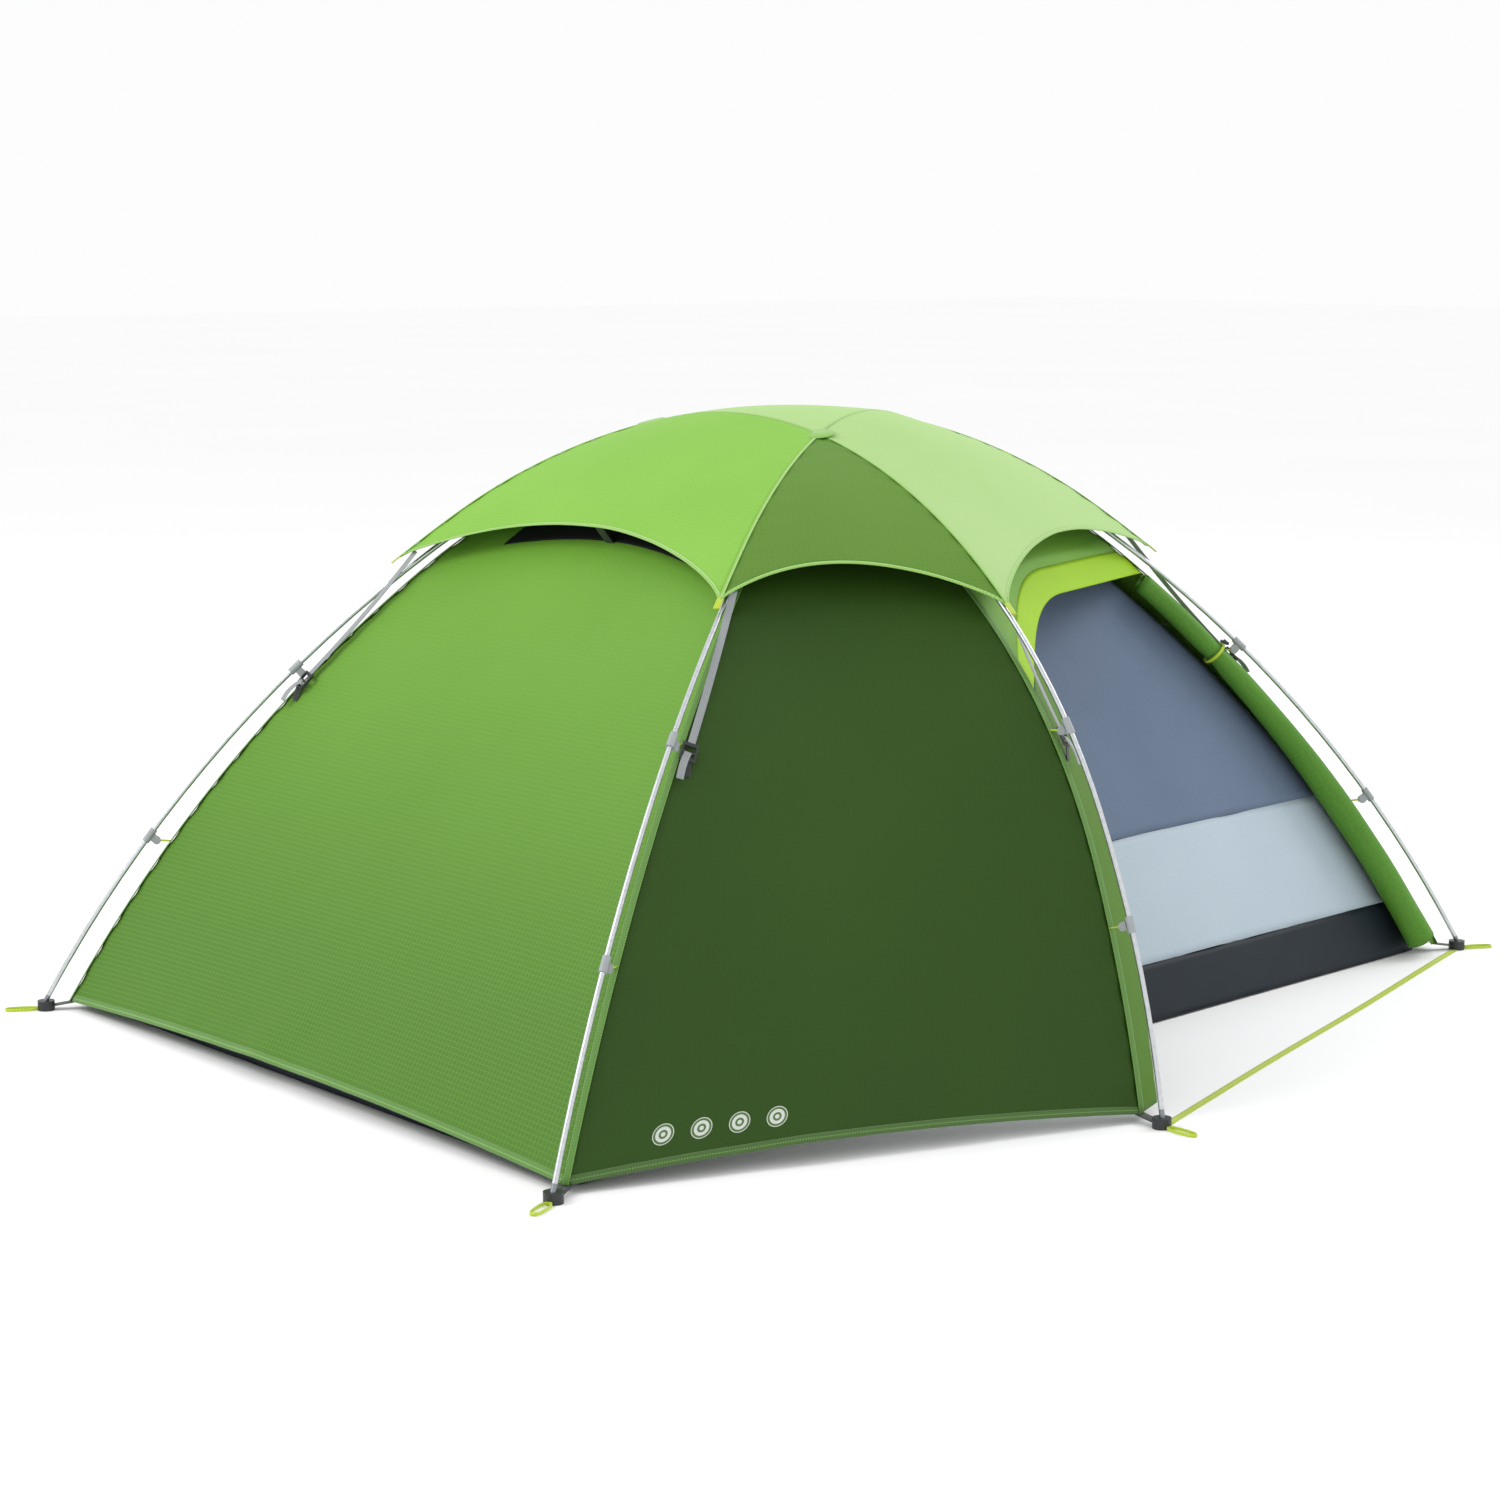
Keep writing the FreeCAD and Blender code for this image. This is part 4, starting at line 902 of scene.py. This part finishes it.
for name, places, columns, rows, finish, slot, node, cut in (
    ("rear_door_leaf_cloth", leaf_places, 80, 90, door_cloth, "fly_light_green", "rear_door_leaf",
     DOOR_LEAF_CUT),
    ("rear_door_facing", rear_band_places, 60, 8, lime_facing, "lime_band", "rear_door_band",
     FACING_CUT),
    ("rear_door_top_cloth", spread(rear_door, bottom=rear_band_edge), 60, 16, light_ripstop,
     "fly_light_green", "rear_door_top_panel", DOOR_TOP_CUT),
):
    piece = cloth(name, [(rear_door, places, rear_face, columns, rows)], finish, slot, [node])

# The rear door's zip: two tapes with a coil between them, a metal slider and its pull.
# The tape is woven black polyester; the slider and pull are die-cast and nickel plated.
ZIP_WIDTH = 0.009
ZIP_LIFT = 0.0010
COIL = (0.0036, 0.0012)
zip_tape = stitched_finish("black_zip_tape", "#2B2E2F", "#17191A", thread="#4A4E50")
zip_places = spread(
    rear_door,
    left=lambda t: 1 - rear_side(t) - ZIP_WIDTH / rear_door.width(t),
    right=lambda t: 1 - rear_side(t),
    bottom=lambda u: 0.01,
    top=lambda u: rear_edge(u) - 0.02,
)
zip_face = pulled(rear_door, out=ZIP_LIFT + 0.0009, seed=6.0, billow=0.0025)
zip_bm = bmesh.new()
lay_grid(zip_bm, 4, 160, lambda a, b: zip_face(*zip_places(a, b)), lambda a, b: (a * ZIP_WIDTH, b))
zip_piece = finish_piece(zip_bm, "rear_zip_tape", zip_tape, "zip_tape", ["rear_door_zip"])
give_wall(zip_piece, 0.0007)
coil_bm = bmesh.new()


def coil_line(b):
    return zip_face(*zip_places(0.5, min(max(b, 0.0), 1.0))) + rear_door.normal(0.9, b) * 0.0003


sweep(coil_bm, coil_line, lambda b: rear_door.a.side, *COIL, 160, sides=8, square=0.7)
finish_piece(coil_bm, "rear_zip_coil", zip_tape, "zip_tape")
nickel = metal_finish("nickel_plated_zinc", "#B9BBBA", "#8C8F8F", 0.25, 2.0)
dress(nickel, "rear_zip_slider", "rear_zip_pull")

# The roof cap: seven panels of the fly's cloth in a paler green, laid over the crossings of
# the poles. Its edge is bound with a pale tape, drops to a point on every pole, and is held
# out from the fly at both ends by a stiff prop, so the vents under it stay open.
CAP_PANELS = {name: Panel(CAP, name, 0.0, 0.0) for name in PAIRS}
CAP_TIP_HEIGHTS = {"head": 0.790, "mid": 0.774, "foot": 0.785}
CAP_SCALLOPS = {
    "head": 0.120, "foot": 0.120, "front": 0.100, "rear": 0.100, "door": 0.095, "rear_door": 0.095,
}
CAP_SCALLOP_POWER = 0.7


def cap_edge(name):
    """The cap's lower edge on one panel: a point on each pole, and a rise between them."""
    panel = CAP_PANELS[name]
    heights = [CAP_TIP_HEIGHTS[leg.split("_")[0]] for leg in PAIRS[name]]
    tips = [leg.arch.at_height(z) for leg, z in zip((panel.a, panel.b), heights)]
    shares = [(tip - low) / (high - low) for tip, low, high in zip(tips, panel.low, panel.high)]
    rise = CAP_SCALLOPS[name] / panel.height()

    def line(u):
        level = shares[0] * (1 - u) + shares[1] * u
        return level + rise * (4 * u * (1 - u)) ** CAP_SCALLOP_POWER
    return line


# The cap is one cloth in three colours: its own green on the head and foot panels, a darker copy on the front
# and rear panels as painted shade, and a paler copy on the door panels and the crown as a painted highlight, the
# gloss of light off the coated cloth.
cap_light = woven_finish("cap_green_ripstop", "#86BC4A", "#78AD3E", 2.2, 9.0, sheen=0.15)
cap_mid = woven_finish("cap_mid_green_ripstop", "#628C36", "#557D2C", 2.2, 9.0, sheen=0.05)
cap_painted_highlight = woven_finish("cap_green_ripstop_painted_highlight", "#A4C680", "#98BC70", 2.2, 9.0, sheen=0.3)
CAP_CLOTHS = {
    "head": (cap_light, (0.9, 0.48, 0.251)),
    "foot": (cap_light, (0.44, 0.47, 0.076)),
    "front": (cap_mid, (0.46, 0.47, 0.086)),
    "rear": (cap_mid, (0.46, 0.47, 0.086)),
    "door": (cap_painted_highlight, (0.94, 0.49, 0.284)),
    "rear_door": (cap_painted_highlight, (0.94, 0.49, 0.284)),
}
cap_tape = stitched_finish("cap_binding_tape", "#9ACB62", "#7CB045", thread="#C9E69A")
lime_webbing = stitched_finish("lime_webbing", "#C5DA2A", "#A4BC10", thread="#DDEB6A")
PATCH_R = 0.026
PATCH_T = 0.0012
BINDING = (0.007, 0.0028)
RIDGE_TAPE = (0.006, 0.0018)
TIP_TAB = (0.011, 0.0022)
crossings = []
binding_bm = bmesh.new()
ridge_bm = bmesh.new()
tab_bm = bmesh.new()
for name, panel in CAP_PANELS.items():
    places = spread(panel, bottom=cap_edge(name))
    face = pulled(panel, seed=20.0 + len(name), pucker=0.0009, billow=0.0020)
    finish, cut = CAP_CLOTHS[name]
    lay = (panel, places, face, 70, 36)
    piece = cloth("cap_" + name + "_cloth", [lay], finish, "cap_green", ["cap_" + name + "_panel"])

    def bound(b):
        return face(*places(min(max(b, 0.0), 1.0), 0.006))

    sweep(binding_bm, bound, lambda b: panel.a.tangent(panel.high[0] - 0.2), *BINDING, 90, square=0.7)
for name, leg in CAP.items():
    start = leg.arch.at_height(CAP_TIP_HEIGHTS[name.split("_")[0]])
    end = leg.arch.at_offset(CROSS[name])

    def ridge(b):
        at = start + (end - start) * b
        return leg.point(at) + leg.normal(at) * 0.0008

    sweep(ridge_bm, ridge, lambda b: leg.side, *RIDGE_TAPE, 60, square=0.6)
    spot = leg.point(end) + leg.normal(end) * PATCH_T
    if all((spot - other).length > PATCH_R for other in crossings):
        crossings.append(spot)
        turn = leg.normal(end).to_track_quat("Z", "Y").to_matrix().to_4x4()
        bmesh.ops.create_cone(
            ridge_bm, cap_ends=True, segments=40, radius1=PATCH_R, radius2=PATCH_R - PATCH_T,
            depth=PATCH_T, matrix=Matrix.Translation(spot) @ turn,
        )
    tab_at = [leg.point(start + n) + leg.normal(start) * 0.001 for n in (-0.016, 0.008)]
    sweep(tab_bm, lambda b: tab_at[0].lerp(tab_at[1], b), lambda b: leg.side, *TIP_TAB, 6, square=0.5)
finish_piece(binding_bm, "cap_binding", cap_tape, "cap_green")
finish_piece(ridge_bm, "cap_ridge_seams", cap_tape, "cap_green")
finish_piece(tab_bm, "cap_tip_tabs", lime_webbing, "lime_webbing")
# The crown is painted pale: a painted highlight, the gloss off the top of the cap.
crown_cloth("cap_crown_cloth", CAP, cap_painted_highlight, "cap_green", "cap_crown_panel")
dress(black_nylon, "vent_prop_head", "vent_prop_foot")

# The vents under the cap at both ends: a patch of dark no-see-um mesh sewn over a hole in the fly, about 500 mm
# wide and 35 mm high, under the cap's edge. Its near-black colour is partly painted shade, the shadow of the
# cap's edge painted into the mesh.
vent_shade_mesh = woven_finish("vent_mesh_painted_shade", "#171B17", "#0B0D0B", 2.0, None, roughness=0.8)
vent_bm = bmesh.new()
for name in ("head", "foot"):
    panel = FLY_PANELS[name]
    mouth = cap_edge(name)
    face = pulled(panel, out=0.0012, seed=FLY_SEEDS[name])
    places = spread(
        panel,
        left=lambda t: 0.16,
        right=lambda t: 0.84,
        bottom=lambda u: mouth(u) + 0.024,
        top=lambda u: mouth(u) + 0.064,
    )
    lay_grid(vent_bm, 40, 8, lambda a, b: face(*places(a, b)), lambda a, b: (a * 0.4, b * 0.08))
vent_piece = finish_piece(vent_bm, "vent_mesh_patches", vent_shade_mesh, "inner_mesh")
give_wall(vent_piece, 0.0006)

# The straps that pull the cap down: grey webbing from each tip of the cap to a ladder lock,
# and a black webbing tail that ties the lock to the fly. A lock tips up to let its strap slip,
# so each cap strap bends between the tent and its lock.
BUCKLE_LENGTH = 0.030
BUCKLE_HEIGHT = 0.560
BUCKLE_SIDE = 0.022
BUCKLE_RISE = 0.012
BUCKLE_FOOT = 0.024
WEBBING = 0.020
WEBBING_T = 0.0016
CAP_STRAP = (0.012, 0.0016)
STRAP_TAIL = (0.012, 0.0014)
TAIL_LENGTH = 0.050
ANCHOR_STRAP = (0.016, 0.0016)
grey_webbing = stitched_finish("grey_polyester_webbing", "#A7ABAC", "#868B8D", sewn=False)
black_webbing = stitched_finish("black_polyester_webbing", "#303335", "#1A1C1D", thread="#54585A")


def buckle_place(name):
    """A ladder lock's hinge bar, its strap's seat on the cap, and its sewn foot."""
    key = next(key for key, pair in PAIRS.items() if pair[0] == name)
    panel = FLY_PANELS[key]
    t = (panel.a.arch.at_height(BUCKLE_HEIGHT) - panel.low[0]) / (panel.high[0] - panel.low[0])
    u = BUCKLE_SIDE / panel.width(t)
    anchor = panel.point(u, t) + panel.normal(u, t) * BUCKLE_RISE
    low_t = t - BUCKLE_FOOT / panel.height()
    foot = panel.point(u, low_t) + panel.normal(u, low_t) * (WEBBING_T / 2 + 2 * SEAT)
    over = CAP_PANELS[key]
    edge = cap_edge(key)
    cap_u = BUCKLE_SIDE * 0.7 / over.width(edge(0.0))
    cap_t = edge(cap_u) + 0.004
    tip = over.point(cap_u, cap_t) - over.normal(cap_u, cap_t) * (0.0016 + WEBBING_T / 2 + 4 * SEAT)
    across = (panel.point(2 * u, low_t) - panel.point(u, low_t)).normalized()
    return anchor, tip, foot, across, panel.normal(u, t)


anchor_bm = bmesh.new()
for name in FEET:
    anchor, tip, foot, across, outward = buckle_place(name)
    along = (tip - anchor).normalized()
    top = anchor + along * (BUCKLE_LENGTH - 0.006)
    strap_bm = bmesh.new()
    sag = -outward * 0.004

    def strap_line(b):
        return top.lerp(tip, b) + sag * math.sin(math.pi * min(max(b, 0), 1))

    sweep(strap_bm, strap_line, lambda b: across, *CAP_STRAP, 40, square=0.4)
    tail_start = anchor + along * 0.012 + outward * 0.0032

    def tail_line(b):
        return tail_start - along * (TAIL_LENGTH * b) + outward * (0.006 * math.sin(b * 2.6))

    sweep(strap_bm, tail_line, lambda b: across, *STRAP_TAIL, 16, square=0.4)
    strap = finish_piece(
        strap_bm, "cap_strap_" + name, grey_webbing, "grey_webbing", ["cap_straps"], body=None
    )
    tuple(top.lerp(tip, 0.5))
    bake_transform(strap)
    sweep(anchor_bm, lambda b: foot.lerp(anchor, b), lambda b: across, *ANCHOR_STRAP, 8, square=0.4)
    dress(black_nylon, "ladder_lock_" + name)
finish_piece(anchor_bm, "buckle_anchor_webbing", black_webbing, "black_webbing", ["buckle_anchors"])

# The clip ties: from the eye of each pole clip a short loop of lime cord runs to a tab in the
# fly's seam. Each is two strands of 2.4 mm braided cord with a knot where they meet the cloth.
CLIP_HEIGHTS = (0.307, 0.600)
CLIP_WALL = 0.0022
CLIP_EAR = 0.009
CLIP_EYE_R = 0.007
CORD_FALL = 0.012
CORD_D = 0.0024
high_pole = Arch(LONG_HALF, POLE_HEIGHT + STACK_STEP, LONG_CROWN_R, LONG_LEG_R)
for name in ("head_front", "foot_rear"):
    POLES[name].arch = high_pole
cord_bm = bmesh.new()
for height in CLIP_HEIGHTS:
    for name, leg in POLES.items():
        at = leg.arch.at_height(height)
        inward = leg.normal(at) * -1
        eye = leg.point(at) + inward * (POLE_RADIUS + CLIP_WALL + CLIP_EAR - 0.0006)
        fly_leg = FLY[name]
        fly_at = fly_leg.arch.at_height(height - CORD_FALL)
        end = fly_leg.point(fly_at) + fly_leg.normal(fly_at) * 0.0018
        along = (end - eye).normalized()
        start = eye + along * (CLIP_EYE_R * 0.6)
        for hand in (-1, 1):
            def strand(b):
                spread_out = leg.side * (hand * (0.0016 + 0.0016 * math.sin(math.pi * b)))
                return start.lerp(end, b) + spread_out

            sweep(cord_bm, strand, lambda b: leg.side, CORD_D, CORD_D, 10, sides=8)
finish_piece(cord_bm, "clip_tie_cords", lime_elastic, "elastic_cord", ["clip_cords"])

# The webbing at the feet: a black strap from each foot cup to the fly's corner, a lime loop for
# a peg outside it, and a lime ground strap along the sill of each door.
CUP_R = 0.015
CUP_HEIGHT = 0.017
LOOP_LENGTH = 0.060
LOOP_WEBBING = (0.0052, 0.0024)
GROUND_STRAP = 0.014
corner_bm = bmesh.new()
loop_bm = bmesh.new()
cups = {}
for name, leg in POLES.items():
    base = leg.point(0.012 + 0.008)
    cups[name] = Vector((base.x, base.y, 0))
    fly_leg = FLY[name]
    corner = fly_leg.point(fly_leg.arch.at_height(HEM_HEIGHT))
    start = cups[name] - leg.out * (CUP_R - 0.001) + UP * (CUP_HEIGHT / 2)
    end = Vector((corner.x, corner.y, HEM_HEIGHT)) - leg.out * 0.010
    sweep(corner_bm, lambda b: start.lerp(end, b), lambda b: leg.side, WEBBING, WEBBING_T, 12, square=0.4)
    inner = cups[name] + leg.out * (CUP_R - 0.001) + UP * 0.0034

    def peg_line(b):
        turn = b * math.tau
        reach = LOOP_LENGTH / 2 - 0.002
        wide = 0.0085 * abs(math.sin(turn)) ** 0.7 * (1 if math.sin(turn) > 0 else -1)
        return inner + leg.out * (reach * (1 - math.cos(turn))) + leg.side * wide

    sweep(loop_bm, peg_line, lambda b: UP, *LOOP_WEBBING, 48, sides=10, square=0.6, loop=True)
finish_piece(corner_bm, "corner_webbing", black_webbing, "black_webbing", ["corner_straps"])
finish_piece(loop_bm, "peg_loop_webbing", lime_webbing, "lime_webbing", ["peg_loops"])
ground_bm = bmesh.new()
for one, two in (("mid_front", "foot_front"), ("mid_rear", "foot_rear")):
    along = (cups[two] - cups[one]).normalized()
    start = cups[one] + along * (CUP_R - 0.001) + UP * 0.0009
    end = cups[two] - along * (CUP_R - 0.001) + UP * 0.0009
    sideways = UP.cross(along)

    def sill_line(b):
        return start.lerp(end, b) + sideways * (0.0025 * math.sin(b * 7.0) * math.sin(math.pi * b))

    sweep(ground_bm, sill_line, lambda b: sideways, GROUND_STRAP, WEBBING_T, 60, square=0.4)
finish_piece(ground_bm, "ground_strap_webbing", lime_webbing, "lime_webbing", ["ground_straps"])

# The inner tent: a coated nylon tub for a floor, a band of pale breathable polyester above it,
# and grey mesh over that, hung inside the fly from ties on its corner seams. The tub is
# welded at its corners, and the cloth above sags a little between them.
INNER_INSET = 0.095
INNER_DROP = 0.062
TUB_BASE = 0.004
TUB_HEIGHT = 0.100
BAND_HEIGHT = 0.310
INNER_SAG = 0.010
INNER_T = 0.0007
INNER_HEIGHT = POLE_HEIGHT - FLY_DROP - INNER_DROP
inner_arch = Arch(LONG_HALF - INNER_INSET, INNER_HEIGHT, LONG_CROWN_R, LONG_LEG_R)
INNER_CORNERS = ("head_rear", "head_front", "foot_front", "foot_rear")
INNER = {name: Leg(inner_arch, FEET[name], FEET[FAR[name]]) for name in INNER_CORNERS}
INNER_SIDES = {
    "head": ("head_rear", "head_front"),
    "front": ("head_front", "foot_front"),
    "foot": ("foot_front", "foot_rear"),
    "rear": ("foot_rear", "head_rear"),
}


def inner_wall(side_name, zone, seed):
    """One side of the inner tent between two levels, and its flat coordinates."""
    names = INNER_SIDES[side_name]
    spans = []
    for leg_name in names:
        arch = INNER[leg_name].arch
        cross = arch.at_offset(-AXIS_CROSS if leg_name.startswith("head") else AXIS_CROSS)
        levels = [arch.at_height(z) for z in (TUB_BASE, TUB_HEIGHT, BAND_HEIGHT)] + [cross - TOP_CUT]
        spans.append((levels[zone], levels[zone + 1]))
    first, second = (INNER[leg_name] for leg_name in names)

    def surface(a, b):
        ats = [low + (high - low) * b for low, high in spans]
        one, other = first.point(ats[0]), second.point(ats[1])
        way = (first.normal(ats[0]) * (1 - a) + second.normal(ats[1]) * a).normalized()
        wide = (one - other).length
        bow = INNER_SAG * math.sin(math.pi * a) * (math.sin(math.pi * b) if zone == 2 else 0.0)
        rise = b * (spans[0][1] - spans[0][0])
        hold = math.sin(math.pi * a) ** 0.5
        crease = 0.0028 * hold * noise.noise(Vector((a * wide * 7.0, rise * 2.2, seed)))
        drag = 0.0016 * hold * noise.noise(Vector(((a * wide + rise) * 16.0, rise * 3.0, seed + 5.0)))
        return one * (1 - a) + other * a - way * (bow + 0.0016 + crease + drag)

    def flat(a, b):
        ats = [low + (high - low) * b for low, high in spans]
        wide = (first.point(ats[0]) - second.point(ats[1])).length
        return ((a - 0.5) * wide, b * (spans[0][1] - spans[0][0]))

    return surface, flat


def inner_cloth(name, sides, zone, columns, rows, finish, slot, nodes, cut):
    bm = bmesh.new()
    for count, side_name in enumerate(sides):
        surface, flat = inner_wall(side_name, zone, 40.0 + 3.0 * count + zone)
        lay_grid(bm, columns, rows, surface, flat)
    piece = finish_piece(bm, name, finish, slot, nodes)
    give_wall(piece, INNER_T)


tub_nylon = woven_finish("dark_coated_nylon", "#232B33", "#1A2127", 1.6, None, roughness=0.5)
pale_polyester = woven_finish("pale_breathable_polyester", "#B4C2CC", "#A6B5C0", 1.6, None)
grey_mesh = woven_finish("grey_no_see_um_mesh", "#6B7A90", "#5B697F", 2.4, None, roughness=0.7, relief=0.8)
SIDES = tuple(INNER_SIDES)
inner_cloth(
    "inner_tub_cloth", SIDES, 0, 90, 8, tub_nylon, "tub_fabric", ["inner_tub_walls"],
    (6.6, 0.105, 0.675),
)
inner_cloth(
    "inner_band_cloth", SIDES, 1, 90, 16, pale_polyester, "inner_fabric", ["inner_light_bands"],
    (6.4, 0.23, 1.39),
)
MESH_CUTS = {
    "head": (1.24, 1.27, 0.917),
    "front": (0.91, 1.79, 0.905),
    "foot": (0.78, 0.92, 0.392),
    "rear": (0.91, 1.79, 0.905),
}
for side_name, cut in MESH_CUTS.items():
    inner_cloth(
        "inner_mesh_" + side_name + "_cloth", [side_name], 2, 70, 60, grey_mesh, "inner_mesh",
        ["inner_mesh_" + side_name], cut,
    )
floor_corners = []
for name in INNER_CORNERS:
    leg = INNER[name]
    place = leg.point(leg.arch.at_height(TUB_BASE)) - leg.out * 0.0016
    floor_corners.append(Vector((place.x, place.y, 0.0022)))


def ground_sheet(a, b):
    """The tub's floor from its four corners, head to foot, with soft dents."""
    near = floor_corners[1].lerp(floor_corners[2], b)
    far = floor_corners[0].lerp(floor_corners[3], b)
    hold = math.sin(math.pi * a) * math.sin(math.pi * b)
    dent = abs(noise.noise(Vector((a * 6, b * 9, 70.0))))
    return far.lerp(near, 1 - a) + UP * (0.0016 * hold * dent)


floor_bm = bmesh.new()
lay_grid(floor_bm, 60, 90, ground_sheet, lambda a, b: (a * 1.3, b * 2.1))
ground_piece = finish_piece(floor_bm, "inner_floor_sheet", tub_nylon, "tub_fabric", ["inner_floor"])
give_wall(ground_piece, 0.0016)

# The ties that hang the inner tent: short black elastic cords from its corner seams to the
# fly, and a round reinforced patch at its peak with a cord up to the crossing.
HANGER_D = 0.003
HANGERS = ((0.060, -0.020), (0.290, 0.020), (0.640, 0.020))
black_cord = stitched_finish("black_braided_cord", "#2A2C2E", "#161718", sewn=False)
hanger_bm = bmesh.new()
for name in INNER_CORNERS:
    inner_leg, fly_leg = INNER[name], FLY[name]
    for height, fall in HANGERS:
        low_at = inner_leg.arch.at_height(height)
        high_at = fly_leg.arch.at_height(height + fall)
        start = inner_leg.point(low_at)
        end = fly_leg.point(high_at) - fly_leg.normal(high_at) * 0.002
        sweep(hanger_bm, lambda b: start.lerp(end, b), lambda b: inner_leg.side, HANGER_D, HANGER_D, 8, sides=10)
finish_piece(hanger_bm, "inner_hanger_cords", black_cord, "elastic_cord", ["inner_hangers"])
dress(black_nylon, "inner_peak_hanger")
dress(black_cord, "shock_cords")

# Four round printed patches near the hem of the front panel: pale grey ink on the dark cloth,
# 34 mm across, each with a plain ring and a simple drawn shape.
DISC_R = 0.017
front = FLY_PANELS["front"]
front_face = pulled(front, out=0.0005, seed=2.0)
patch_ink, patch_shader = new_finish("pale_screen_print", Roughness=0.6)
ink_place = add_node(patch_ink, "TexCoord")
ink_rings = add_node(
    patch_ink, "TexWave",
    {"Vector": ink_place.outputs["UV"], "Scale": 0.62, "Phase Offset": 2.4}, wave_type="RINGS",
    rings_direction="SPHERICAL",
)
ink_cut = add_node(
    patch_ink, "Math", {0: ink_rings.outputs["Fac"], 1: 0.35}, operation="GREATER_THAN"
)
ink_tone = add_node(
    patch_ink, "Mix",
    {"Factor": ink_cut.outputs[0], 6: linear("#4A6A33"), 7: linear("#C9CFC6")}, data_type="RGBA",
)
feed(patch_ink, patch_shader, ink_tone.outputs[2])
patch_bm = bmesh.new()
patch_layer = patch_bm.loops.layers.uv.verify()
for n in range(4):
    u0, t0 = 0.15 + 0.065 * n, 0.035
    wide, tall = front.width(t0), front.height()
    made = bmesh.ops.create_circle(patch_bm, cap_ends=True, segments=48, radius=DISC_R)
    disc = {face for vert in made["verts"] for face in vert.link_faces}
    rim = bmesh.ops.inset_region(patch_bm, faces=list(disc), thickness=0.0025)
    verts = {vert for face in disc | set(rim["faces"]) for vert in face.verts}
    flats = {vert: (vert.co.x / DISC_R, vert.co.y / DISC_R) for vert in verts}
    for face in {face for vert in verts for face in vert.link_faces}:
        for loop in face.loops:
            loop[patch_layer].uv = flats[loop.vert]
    for vert in verts:
        vert.co = front_face(u0 + vert.co.x / wide, t0 + vert.co.y / tall)
finish_piece(patch_bm, "printed_patches", patch_ink, "grey_plastic")
